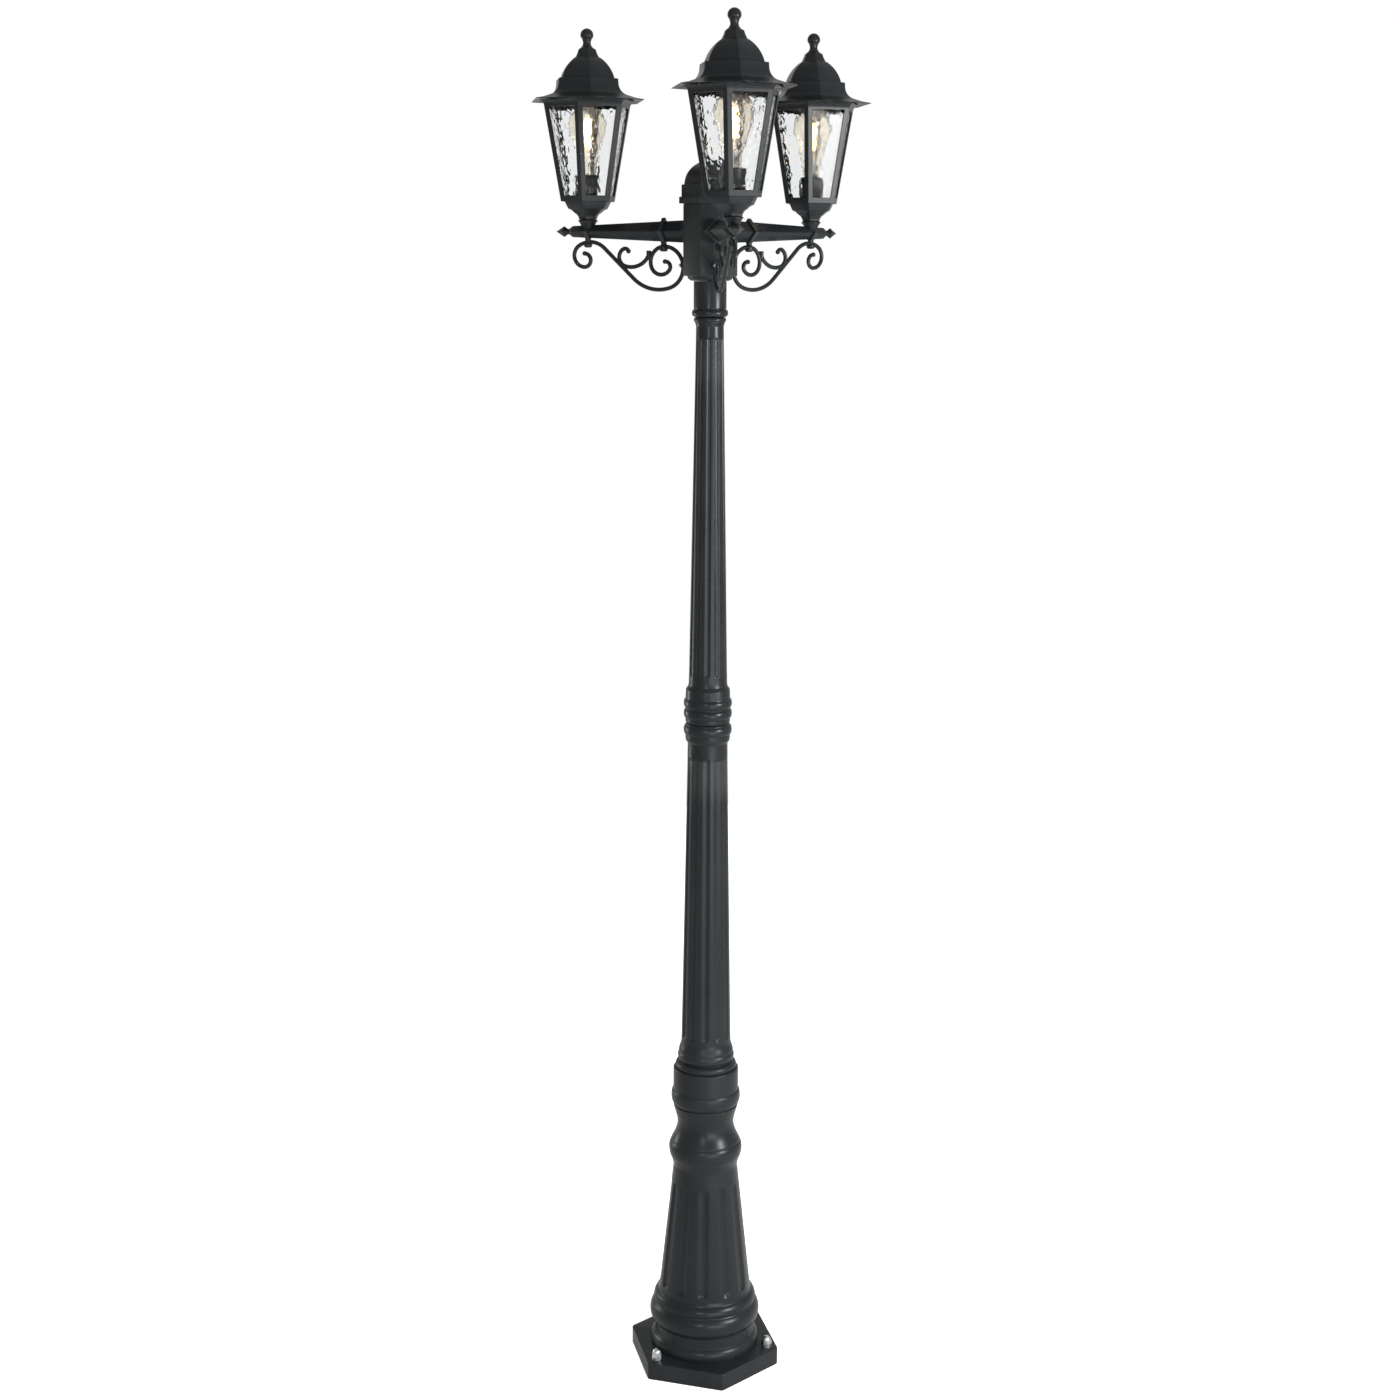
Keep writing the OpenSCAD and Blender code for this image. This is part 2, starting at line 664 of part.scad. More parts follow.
/* Straps and scroll, drawn in the same plane as their arm */
strap_play = 0.2;
knob_r = 7.2;
knob_neck_r = 5;

// Half height of the strap's inner edge, set by the thicker side of the arm under it
function strap_half(x) = arm_half(x - strap_w / 2) + strap_play;

module strap_blank(x, extra, width) {
    translate([x - width / 2, 0, 0]) rotate([0, 90, 0])
        cylinder(h = width, r = strap_half(x) + extra, $fn = 4);
}

// A strap's foot is cut level where the scroll's bar passes under it
module strap_loop(x, bar_top) {
    difference() {
        strap_blank(x, strap_t / sin(45), strap_w);
        strap_blank(x, 0, strap_w + 2);
        translate([x, 0, -2 * arm_half_root]) cylinder(h = 2 * arm_half_root, r = pin_r + thread_gap);
        translate([x - strap_w, -10, bar_top + 0.1 - 20]) cube([2 * strap_w, 20, 20]);
    }
}

module straps(turn) {
    color(paint) rotate([0, 0, turn]) translate([0, 0, arm_z]) {
        strap_loop(strap_reach, inner_bar_z + bar_r);
        difference() {
            strap_loop(reach, outer_bar_z + bar_r);
            translate([reach - strap_w, -50, 2.4]) cube([2 * strap_w, 100, 50]);
        }
    }
}

// The long bar of the scroll and its short companion: each is a start pose [x, z, heading]
// and a list of pieces [radius, turn], where a piece with no turn is straight
long_start = [232.7, -36.8, 180];
long_pieces = [[11.5, 180], [19.5, 146], [39, 77], [74.5, 0], [68, -60], [35.5, -153],
    [26, -118], [19, -125], [9, -133]];
short_start = [150.2, -32.9, 70];
short_pieces = [[6.8, -100.5], [15.6, -132], [37.5, -72]];
outer_bar_z = -17.5;
inner_bar_z = -24.8;
knuckle_x = 112.5;
knuckle_r = 4.3;
scroll_ball_r = bar_r + 0.5;
seam_w = 1;
boss_r = 4.2;
scroll_screw_z = -56;
scroll_screw_x = 53.6;
scroll_head_r = 3.4;
scroll_head_l = 3;

// Pose at the end of one piece that starts at pose p
function after(p, piece) = piece[1] == 0
    ? [p[0] + piece[0] * cos(p[2]), p[1] + piece[0] * sin(p[2]), p[2]]
    : let (s = sign(piece[1]), h = p[2] + piece[1])
        [p[0] + s * piece[0] * (sin(h) - sin(p[2])), p[1] - s * piece[0] * (cos(h) - cos(p[2])), h];

// Pose before piece number i of a chain
function pose_at(start, pieces, i) = i == 0 ? start : after(pose_at(start, pieces, i - 1), pieces[i - 1]);

module bar_piece(p, piece) {
    s = sign(piece[1]);
    if (piece[1] == 0)
        translate([p[0], 0, p[1]]) rotate([0, 90 - p[2], 0]) cylinder(h = piece[0], r = bar_r);
    else
        translate([p[0] - s * piece[0] * sin(p[2]), 0, p[1] + s * piece[0] * cos(p[2])]) rotate([90, 0, 0])
            rotate([0, 0, s > 0 ? p[2] - 90 : p[2] + 90 + piece[1]])
            rotate_extrude(angle = abs(piece[1])) translate([piece[0], 0]) circle(r = bar_r);
}

// A ring just proud of the bar where two bends meet, so that they join on a clean edge
module seam(p) {
    translate([p[0], 0, p[1]]) rotate([0, 90 - p[2], 0]) translate([0, 0, -seam_w / 2])
        cylinder(h = seam_w, r = bar_r + 0.05);
}

module bar_chain(start, pieces) {
    for (i = [0:len(pieces) - 1]) {
        bar_piece(pose_at(start, pieces, i), pieces[i]);
        if (i > 0) seam(pose_at(start, pieces, i));
    }
}

module ball_at(p) {
    translate([p[0], 0, p[1]]) sphere(r = scroll_ball_r);
}

// A stub from the strap down through the bar, with a rounded knob at its foot
module stub(x, knob_z, knob_h) {
    top = 4 - strap_half(x) - strap_t / sin(45);
    difference() {
        translate([x, 0, 0]) turned(concat(
            [[0, knob_z]], arc([knob_r - 4, knob_z + 4], 4, 4, -90, 0, 4), [[knob_r, knob_z + knob_h - 2]],
            [[knob_neck_r, knob_z + knob_h], [knob_neck_r, top], [0, top]]));
        strap_blank(x, strap_t / sin(45), 4 * knob_r);
    }
    translate([x, 0, knob_z + 8]) cylinder(h = pin_l - 0.5 - arm_half(x) - knob_z - 8, r = pin_r);
}

module scroll(turn) {
    short_end = pose_at(short_start, short_pieces, len(short_pieces));
    color(paint) rotate([0, 0, turn]) translate([0, 0, arm_z]) difference() {
        union() {
            bar_chain(long_start, long_pieces);
            bar_chain(short_start, short_pieces);
            ball_at(long_start);
            ball_at(pose_at(long_start, long_pieces, len(long_pieces)));
            ball_at(short_start);
            ball_at(short_end);
            stub(reach, outer_bar_z - 9.5, 8.5);
            stub(strap_reach, inner_bar_z - 8.6, 11);
            translate([knuckle_x, 0, short_end[1] - 1]) cylinder(h = 13, r = knuckle_r);
            translate([head_flat, 0, scroll_screw_z]) rotate([0, 90, 0])
                cylinder(h = scroll_screw_x - head_flat, r = boss_r);
        }
        translate([head_flat - 1, 0, scroll_screw_z]) rotate([0, 90, 0])
            cylinder(h = scroll_screw_x - head_flat + 2, r = scroll_screw_r + thread_gap);
    }
}

module scroll_screws() {
    color(zinc) for (turn = arm_turns) rotate([0, 0, turn])
        translate([head_flat - head_wall, 0, arm_z + scroll_screw_z]) rotate([0, 90, 0]) {
            cylinder(h = scroll_screw_x - head_flat + head_wall, r = scroll_screw_r);
            translate([0, 0, scroll_screw_x - head_flat + head_wall])
                cylinder(h = scroll_head_l, r1 = scroll_head_r, r2 = scroll_head_r - 1);
        }
}

/* Lanterns, drawn about their own axis with X pointing away from the post */
stem_ring_r = 16.6;
stem_foot_r = 7.5;
nipple_top = 12;
holder_floor = 3;

module cup(turn) {
    color(paint) difference() {
        at_lantern(turn) {
            rotate([0, 0, frame_turn]) translate([0, 0, cup_z]) six_sided(concat(
                [[0, 0], [16.8, 0], [16.8, 2.7], [17.4, 4.6], [20.2, cup_h - 21.5], [25.9, cup_h - 17.6]],
                [[28.2, cup_h - 15.5], [cup_r - 9.6, cup_h - 12.8], [cup_r - 7.4, cup_h - 12.6]],
                [[cup_r - 5.4, cup_h - 10.5], [cup_r, cup_h], [0, cup_h]]));
            translate([0, 0, arm_z]) turned(concat(
                [[0, 2], [stem_foot_r, 2], [12.2, stem_h - 9]],
                arc([stem_ring_r - 2, stem_h - 2], 2, 2, -70, 90, 5), [[12, stem_h], [12, stem_h + 2]],
                [[0, stem_h + 2]]));
        }
        rotate([0, 0, turn]) translate([0, 0, arm_z]) arm_body();
        at_lantern(turn) translate([0, 0, arm_z]) cylinder(h = stem_h + cup_h + 5, r = nipple_r + thread_gap);
    }
}

module lamp_nipples() {
    length = stem_h + cup_h + nipple_top - wire_bore_r - 0.5;
    color(zinc) for (turn = arm_turns) at_lantern(turn) translate([0, 0, arm_z + wire_bore_r + 0.5]) difference() {
        cylinder(h = length, r = nipple_r);
        translate([0, 0, -1]) cylinder(h = length + 2, r = nipple_bore_r);
    }
}

rail_z = frame_h - 8;
lip_extra = 7.7;
sill_h = 9.6;
window_top = frame_h - 12;
frame_floor_t = 3;
frame_lean = atan((frame_top_r - frame_foot_r) * hex_flat / rail_z);
frame_inset = frame_wall / cos(frame_lean) / hex_flat;
lug_h = 3.7;
lug_t = 3;
// How far each lug of a frame runs down into its top rail
lug_root = 1;
pane_foot = 3.6;
pane_top = frame_h - 10;

// Half width of the frame across its corners at a height above its foot
function frame_r(z) = frame_foot_r + (frame_top_r - frame_foot_r) * z / rail_z;

// Draws a sheet on side k of the frame, from depth out to depth in behind its outer face
module on_side(k, deep, shallow, z_low, z_high, margin) {
    rotate([0, 0, 60 * k + 30]) translate([frame_foot_r * hex_flat, 0, 0]) rotate([0, frame_lean, 0])
        translate([-deep, 0, 0]) rotate([90, 0, 90]) linear_extrude(deep - shallow) polygon([
            [frame_r(z_low) / 2 - margin, z_low / cos(frame_lean)],
            [frame_r(z_high) / 2 - margin, z_high / cos(frame_lean)],
            [margin - frame_r(z_high) / 2, z_high / cos(frame_lean)],
            [margin - frame_r(z_low) / 2, z_low / cos(frame_lean)]]);
}

module frame(turn) {
    color(paint) at_lantern(turn) translate([0, 0, frame_z]) rotate([0, 0, frame_turn]) {
        difference() {
            six_sided([[0, 0], [frame_foot_r, 0], [frame_r(rail_z), rail_z],
                [frame_r(rail_z) + 1.2, rail_z + 3], [frame_r(rail_z) + 3.6, rail_z + 5.4],
                [frame_r(rail_z) + lip_extra, rail_z + 7], [frame_r(rail_z) + lip_extra, frame_h], [0, frame_h]]);
            six_sided([[0, frame_floor_t], [frame_r(frame_floor_t) - frame_inset, frame_floor_t],
                [frame_r(frame_h + 1) - frame_inset, frame_h + 1], [0, frame_h + 1]]);
            for (k = [0:5]) on_side(k, frame_wall + 8, -8, sill_h, window_top, stile_w);
            translate([0, 0, -1]) cylinder(h = frame_floor_t + 2, r = nipple_r + thread_gap);
        }
        for (k = [0, 2, 4]) rotate([0, 0, 60 * k + 30])
            translate([(frame_r(frame_h) - frame_inset) * hex_flat + 0.2, -6, frame_h - lug_root])
                cube([lug_t, 12, lug_h + lug_root]);
    }
}

module panes(turn) {
    margin = (frame_wall + pane_t) * tan(30) + 0.4;
    color("#dfe8e8", 0.4) at_lantern(turn) translate([0, 0, frame_z]) rotate([0, 0, frame_turn])
        for (k = [0:5]) on_side(k, frame_wall + pane_t, frame_wall, pane_foot, pane_top, margin);
}

holder_h = 41;
cap_h = 27;
cap_gap = 0.5;
holder_seat = 14;

module lampholder(turn) {
    color(black_plastic) at_lantern(turn) translate([0, 0, frame_z + frame_floor_t]) turned(concat(
        [[nipple_r + thread_gap, 0], [12, 0], [13, 2], [holder_r - 0.7, 10], [holder_r - 0.7, holder_h - 14]],
        bead(holder_r - 0.7, 0.7, holder_h - 13, holder_h - 3, 4),
        [[holder_r - 1.2, holder_h], [cap_r + cap_gap, holder_h], [cap_r + cap_gap, holder_seat]],
        [[2.4, holder_seat], [2.4, nipple_top - frame_floor_t], [nipple_r + thread_gap, nipple_top - frame_floor_t]]));
}

module bulb_cap(turn) {
    thread = 0.5;
    color(brass) at_lantern(turn) translate([0, 0, frame_z + frame_floor_t + holder_seat + lift_gap])
        turned(concat([[0, 0], [4.5, 0], [4.5, 1.2], [9, 3]],
            [for (i = [0:4], side = [0, 1]) [cap_r - thread * side, 5 + 3.4 * i + 1.7 * side]],
            [[cap_r, 22], [cap_r, cap_h], [0, cap_h]]));
}

// Outside of the bulb's glass, or its inside when inset by the wall
function bulb_outline(inset) = concat(
    [[13 - inset, 0], [13.4 - inset, 10], [15.6 - inset, 25], [20.2 - inset, 42], [bulb_glass_r - 6 - inset, 60]],
    [[bulb_glass_r - 1.6 - inset, 72]],
    arc([0, bulb_glass_h - 33], bulb_glass_r - inset, 33 - inset, 0, 90, 10));

module bulb_glass(turn) {
    inside = bulb_outline(bulb_wall);
    color("#f6e7c4", 0.5) at_lantern(turn)
        translate([0, 0, frame_z + frame_floor_t + holder_seat + lift_gap + cap_h])
        turned(concat(bulb_outline(0), [for (i = [len(inside) - 1:-1:0]) inside[i]]));
}

/* Roof, heights from the top of the frame */
eave_t = 1.2;
eave_z = 0.5;
sweep_c = [79.7, 29];
sweep_r = 21.5;
ledge_z = 35;
ledge_r = 57.8;
dome_foot_r = 50.5;
tier_z = 70;
tier_r = 24.4;
lip_r = 62;
lip_drop = 6;
seat_r = 68;
seat_z = lug_h + lift_gap;
finial_stud_r = 4;
finial_stud_l = 8;

// The roof's outer line from eaves to top
function roof_outside() = concat(
    [[eave_r, eave_z], [eave_r - 16.5, 3.5]],
    arc(sweep_c, sweep_r, sweep_r, 255, 185, 6),
    [[ledge_r, ledge_z], [dome_foot_r, ledge_z + 1.3]],
    arc([-7.4, 18], 61, 61, 20.5, 57.5, 8),
    [[tier_r, tier_z], [tier_r - 2, tier_z + 0.6], [tier_r - 4.1, tier_z + 4], [tier_r - 6.2, tier_z + 8]],
    [[tier_r - 7.6, roof_h - 2], [tier_r - 8, roof_h], [0, roof_h]]);

function roof_inside() = concat(
    [[0, tier_z - 1]],
    arc([-7.4, 18], 61 - roof_t, 61 - roof_t, 57.5, 22, 8),
    [[dome_foot_r - 2.9, ledge_z - 1], [ledge_r - roof_t, ledge_z - 2.4]],
    arc(sweep_c, sweep_r + roof_t, sweep_r + roof_t, 185, 255, 6),
    [[eave_r - 16.5, 1.9], [eave_r, eave_z - eave_t]]);

module roof(turn) {
    color(paint) at_lantern(turn) translate([0, 0, roof_z]) {
        difference() {
            six_sided(concat(roof_outside(), roof_inside()));
            translate([0, 0, roof_h - finial_stud_l]) cylinder(h = finial_stud_l + 1, r = finial_stud_r + thread_gap);
        }
        turned([[lip_r - 2, seat_z], [seat_r, seat_z], [seat_r, seat_z + 1.6], [lip_r - 2, seat_z + 4.4]]);
        for (k = [0:2]) rotate([0, 0, frame_turn + 120 * k + 90]) translate([lip_r - 2, -9, -lip_drop])
            cube([2, 18, lip_drop + seat_z + 1]);
    }
}

module finial(turn) {
    ball_z = 12 + ball_r;
    lowest = -acos(10.4 / ball_r);
    color(paint) at_lantern(turn) translate([0, 0, finial_z]) turned(concat(
        [[0, 0.4 - finial_stud_l], [finial_stud_r, 0.4 - finial_stud_l], [finial_stud_r, 0], [13, 0], [12.4, 1.2]],
        [[10, 3], [8, 5.5], [6.8, 8], [6.5, 10.5], [7.2, ball_z - 9], [8.6, ball_z - 5.5]],
        arc([0, ball_z], ball_r, ball_r, lowest, 90, 10)));
}

/* Wiring inside the post and arms */
cable_r = 4;
lead_r = 1.8;

module post_cable() {
    low = plate_h + terminal_post_h + terminal_size[2];
    color(black_plastic) translate([0, 0, low]) cylinder(h = socket_z + socket_h + tube_h - low, r = cable_r);
}

module arm_leads() {
    start = head_terminal_r * hex_flat;
    color(black_plastic) for (turn = arm_turns) rotate([0, 0, turn]) translate([0, 0, arm_z]) {
        translate([start, 0, 0]) rotate([0, 90, 0]) cylinder(h = reach - start, r = lead_r);
        translate([reach, 0, 0]) sphere(r = lead_r + 0.4);
        translate([reach, 0, 0]) cylinder(h = stem_h + cup_h + holder_seat - 1, r = lead_r);
    }
}

base_plate();
cable_bush();
column_bolts();
anchor_washers();
anchor_nuts();
base_terminal();
base_column();
neck_collar();
lower_spigot();
lower_shaft();
mid_spigot();
upper_shaft();
top_socket();
grub_screws();
post_cable();
head_housing();
head_nut();
head_terminal();
lid_gasket();
head_lid();
arm_nuts();
arm_leads();
scroll_screws();
lamp_nipples();
for (i = [0:2]) {
    arm(arm_turns[i]);
    arm_tip(arm_turns[i]);
    straps(arm_turns[i]);
    scroll(arm_turns[i]);
    cup(arm_turns[i]);
    frame(arm_turns[i]);
    panes(arm_turns[i]);
    lampholder(arm_turns[i]);
    bulb_glass(arm_turns[i]);
    bulb_cap(arm_turns[i]);
    roof(arm_turns[i]);
    finial(arm_turns[i]);
}
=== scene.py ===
# %% [markdown]
# # A three-armed garden lamp post
#
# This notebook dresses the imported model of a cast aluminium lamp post. The model gives the
# frame: where each casting, pane and bulb is, and what moves. Blender adds what the eye
# looks for: rounded arrises on the castings, satin paint with a fine cast grain, hammered
# glass and lit bulbs. Everything is in metres, in the model's own frame: Z is up and the
# front arm points to -Y.

import json
from math import acos, atan, atan2, cos, degrees, hypot, pi, radians, sin, sqrt

import bmesh
import bpy
from mathutils import Matrix, Vector


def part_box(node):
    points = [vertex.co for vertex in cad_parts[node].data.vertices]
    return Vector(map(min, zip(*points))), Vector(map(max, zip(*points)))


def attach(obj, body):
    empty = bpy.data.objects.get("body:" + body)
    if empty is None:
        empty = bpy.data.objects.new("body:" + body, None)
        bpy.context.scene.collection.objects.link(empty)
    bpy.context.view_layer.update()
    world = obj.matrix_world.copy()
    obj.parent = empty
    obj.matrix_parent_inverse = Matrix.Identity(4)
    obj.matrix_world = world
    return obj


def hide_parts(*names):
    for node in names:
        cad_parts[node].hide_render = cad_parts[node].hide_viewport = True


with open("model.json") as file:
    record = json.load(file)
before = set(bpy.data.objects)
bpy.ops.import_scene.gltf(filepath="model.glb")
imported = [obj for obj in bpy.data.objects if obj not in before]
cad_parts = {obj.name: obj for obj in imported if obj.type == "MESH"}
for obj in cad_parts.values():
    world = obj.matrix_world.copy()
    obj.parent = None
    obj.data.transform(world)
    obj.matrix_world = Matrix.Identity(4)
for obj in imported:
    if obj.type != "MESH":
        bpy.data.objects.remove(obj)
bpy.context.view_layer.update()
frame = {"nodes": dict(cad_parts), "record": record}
nodes = frame["nodes"]
scene = bpy.context.scene
scene.view_settings.view_transform = "Standard"
print("nodes:", len(nodes))

# %% [markdown]
# The sizes below are read from the frame wherever it has them, so a change to the model moves
# the pieces made here too. Lengths in this notebook are millimetres until a mesh is made,
# because the castings were measured in millimetres.

# %% Places taken from the frame
MM = 0.001
COS30 = cos(radians(30))
ARM_TURNS = {"front": -90, "right": 30, "left": 150}


def span(node):
    """Lowest and highest corner of a node, in millimetres."""
    low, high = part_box(node)
    return [v / MM for v in low], [v / MM for v in high]


finial_low, finial_high = span("finial_front")
reach = -(finial_low[1] + finial_high[1]) / 2
arm_low, arm_high = span("arm_front")
arm_z = (arm_low[2] + arm_high[2]) / 2
frame_foot_z = span("frame_front")[0][2]
lug_h = 3.7
roof_z = span("frame_front")[1][2] - lug_h
frame_h = roof_z - frame_foot_z
plate_h = span("anchor_washers")[0][2]
total_h = finial_high[2]
print(f"reach {reach:.1f}, arm axis {arm_z:.1f}, lantern {frame_foot_z:.1f} to {total_h:.1f}")

# %% [markdown]
# Every piece that this notebook makes is a mesh that rides on one body of the frame and hides the
# nodes it stands for. A small maker does all of that, so that no piece can be forgotten.
# Like the nodes of the model, a piece keeps its place in its mesh, so its box is a true one.


# %% Make a mesh piece
def mesh_piece(name, points, faces, sharp=32):
    """A smooth-shaded mesh from points in millimetres, with edges sharper than an angle kept."""
    name = name.replace(" ", "_")
    mesh = bpy.data.meshes.new(name)
    mesh.from_pydata([(x * MM, y * MM, z * MM) for x, y, z in points], [], faces)
    mesh.validate()
    mesh.shade_smooth()
    mesh.set_sharp_from_angle(angle=radians(sharp))
    piece = bpy.data.objects.new(name, mesh)
    scene.collection.objects.link(piece)
    return piece


def dress(piece, body, slot, material, *stands_for):
    """Puts a piece on its body, gives it its finish and hides the nodes it stands for."""
    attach(piece, body)
    if stands_for:
        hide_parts(*stands_for)
    piece.data.materials.clear()
    piece.data.materials.append(material)
    return piece


# %% [markdown]
# ## Finishes
#
# The castings are painted aluminium. Paint on a sand casting shows three things up close: a
# fine orange-peel grain, patches that are a little duller, and arrises where the coat is
# thinner and catches the light. One node group makes all three as masks, so that each
# material can mix them in its own amounts.

# %% A node group for the surface of a casting
def add_socket(tree, name, kind, side, value=None):
    socket = tree.interface.new_socket(name=name, in_out=side, socket_type=kind)
    if value is not None:
        socket.default_value = value
    return socket


def node(tree, kind, **values):
    """Adds a node; keys with a capital letter are input sockets, the rest are settings."""
    made = tree.nodes.new(kind)
    for key, value in values.items():
        if key[0].isupper():
            made.inputs[key.replace("_", " ")].default_value = value
        else:
            setattr(made, key, value)
    return made


def cast_skin_group():
    """Grain height, dullness and thin-paint masks for a sand casting."""
    tree = bpy.data.node_groups.new("Cast skin", "ShaderNodeTree")
    add_socket(tree, "Grain size", "NodeSocketFloat", "INPUT", 420.0)
    add_socket(tree, "Patch size", "NodeSocketFloat", "INPUT", 9.0)
    add_socket(tree, "Grain height", "NodeSocketFloat", "OUTPUT")
    add_socket(tree, "Dull patches", "NodeSocketFloat", "OUTPUT")
    add_socket(tree, "Thin paint", "NodeSocketFloat", "OUTPUT")
    link = tree.links.new
    inlet = node(tree, "NodeGroupInput")
    outlet = node(tree, "NodeGroupOutput")
    place = node(tree, "ShaderNodeTexCoord")
    fine = node(tree, "ShaderNodeTexNoise", Detail=3.0, Roughness=0.6)
    coarse = node(tree, "ShaderNodeTexNoise", Scale=70.0, Detail=2.0)
    patches = node(tree, "ShaderNodeTexNoise", Detail=4.0, Roughness=0.55)
    for texture in (fine, coarse, patches):
        link(place.outputs["Object"], texture.inputs["Vector"])
    link(inlet.outputs["Grain size"], fine.inputs["Scale"])
    link(inlet.outputs["Patch size"], patches.inputs["Scale"])
    swell = node(tree, "ShaderNodeMath", operation="MULTIPLY")
    swell.inputs[1].default_value = 1.6
    link(coarse.outputs["Fac"], swell.inputs[0])
    height = node(tree, "ShaderNodeMath", operation="ADD")
    link(fine.outputs["Fac"], height.inputs[0])
    link(swell.outputs[0], height.inputs[1])
    link(height.outputs[0], outlet.inputs["Grain height"])
    dull = node(tree, "ShaderNodeMapRange", From_Min=0.35, From_Max=0.65)
    link(patches.outputs["Fac"], dull.inputs["Value"])
    link(dull.outputs["Result"], outlet.inputs["Dull patches"])
    shape = node(tree, "ShaderNodeNewGeometry")
    arris = node(tree, "ShaderNodeMapRange", From_Min=0.52, From_Max=0.60)
    link(shape.outputs["Pointiness"], arris.inputs["Value"])
    broken = node(tree, "ShaderNodeMath", operation="MULTIPLY")
    link(arris.outputs["Result"], broken.inputs[0])
    link(patches.outputs["Fac"], broken.inputs[1])
    link(broken.outputs[0], outlet.inputs["Thin paint"])
    return tree


cast_skin = cast_skin_group()
print("group:", cast_skin.name, [s.name for s in cast_skin.interface.items_tree])

# %% [markdown]
# A finish starts from the Principled shader. Constants, such as the specular level or the index of
# refraction, are set on its own sockets; only colours and masks that change over the surface
# come in by links. The paint is a blackish grey with a slight blue-green cast.


# %% The painted castings
def new_finish(name):
    material = bpy.data.materials.new(name)
    material.use_nodes = True
    tree = material.node_tree
    return material, tree, tree.nodes["Principled BSDF"]


def blend_colour(tree, mask, dark, light):
    """A colour that goes from dark to light with a mask socket."""
    mix = node(tree, "ShaderNodeMix", data_type="RGBA")
    for name, colour in (("A", dark), ("B", light)):
        socket = next(s for s in mix.inputs if s.name == name and s.type == "RGBA")
        if isinstance(colour, tuple):
            socket.default_value = (*colour, 1)
        else:
            tree.links.new(colour, socket)
    tree.links.new(mask, next(s for s in mix.inputs if s.name == "Factor" and s.type == "VALUE"))
    return next(s for s in mix.outputs if s.type == "RGBA")


def paint_finish(name, dark, light, thin, rough, grain=420.0, depth=0.00004, shine=0.5):
    material, tree, shader = new_finish(name)
    shader.inputs["Specular IOR Level"].default_value = shine
    link = tree.links.new
    coat = node(tree, "ShaderNodeGroup", node_tree=cast_skin)
    coat.inputs["Grain size"].default_value = grain
    body = blend_colour(tree, coat.outputs["Dull patches"], dark, light)
    link(blend_colour(tree, coat.outputs["Thin paint"], body, thin), shader.inputs["Base Color"])
    gloss = node(tree, "ShaderNodeMapRange", To_Min=rough[0], To_Max=rough[1])
    link(coat.outputs["Dull patches"], gloss.inputs["Value"])
    link(gloss.outputs["Result"], shader.inputs["Roughness"])
    bump = node(tree, "ShaderNodeBump", Strength=0.5, Distance=depth)
    link(coat.outputs["Grain height"], bump.inputs["Height"])
    link(bump.outputs["Normal"], shader.inputs["Normal"])
    return material


PAINT_DARK = (0.0102, 0.0122, 0.0134)
PAINT_LIGHT = (0.0136, 0.0157, 0.017)
PAINT_THIN = (0.04, 0.043, 0.044)
paint = paint_finish("Satin grey-black paint", PAINT_DARK, PAINT_LIGHT, PAINT_THIN,
    rough=(0.25, 0.35), shine=0.16)
print("paint:", paint.name)


# %% Metals, plastics and rubber
def metal_finish(name, colour, worn, rough=(0.22, 0.4)):
    material, tree, shader = new_finish(name)
    link = tree.links.new
    coat = node(tree, "ShaderNodeGroup", node_tree=cast_skin)
    coat.inputs["Grain size"].default_value = 900.0
    coat.inputs["Patch size"].default_value = 60.0
    link(blend_colour(tree, coat.outputs["Dull patches"], colour, worn), shader.inputs["Base Color"])
    gloss = node(tree, "ShaderNodeMapRange", To_Min=rough[0], To_Max=rough[1])
    link(coat.outputs["Dull patches"], gloss.inputs["Value"])
    link(gloss.outputs["Result"], shader.inputs["Roughness"])
    bump = node(tree, "ShaderNodeBump", Strength=0.3, Distance=0.00002)
    link(coat.outputs["Grain height"], bump.inputs["Height"])
    link(bump.outputs["Normal"], shader.inputs["Normal"])
    shader.inputs["Metallic"].default_value = 1.0
    return material


zinc = metal_finish("Zinc plated fixings", (0.62, 0.63, 0.64), (0.45, 0.46, 0.47))
galvanised = metal_finish("Galvanised tube", (0.46, 0.47, 0.48), (0.34, 0.35, 0.36), (0.35, 0.55))
brass = metal_finish("Rolled brass cap", (0.72, 0.52, 0.22), (0.5, 0.36, 0.16), (0.2, 0.35))
moulding = paint_finish("Black moulding", (0.004, 0.004, 0.004), (0.007, 0.007, 0.007), (0.02, 0.02, 0.02),
    rough=(0.14, 0.22), grain=800.0, depth=0.00001, shine=0.25)
rubber = paint_finish("Black rubber", (0.01, 0.01, 0.01), (0.016, 0.016, 0.016), (0.02, 0.02, 0.02),
    rough=(0.6, 0.75), grain=600.0, depth=0.00003)
steatite = paint_finish("Glazed steatite", (0.62, 0.59, 0.5), (0.7, 0.67, 0.58), (0.75, 0.72, 0.65),
    rough=(0.12, 0.2), grain=300.0, depth=0.00001)
print("finishes:", [m.name for m in bpy.data.materials][:12])

# %% [markdown]
# Hammered glass is rolled with shallow dimples a few millimetres across. A dimple bends what
# is behind it, which is why the lantern's own bars show as wavering dark lines beside the
# bars in front. The dimples go into the normal, and the pane itself stays a solid sheet, so
# light bends at both of its faces as it does in real glass.


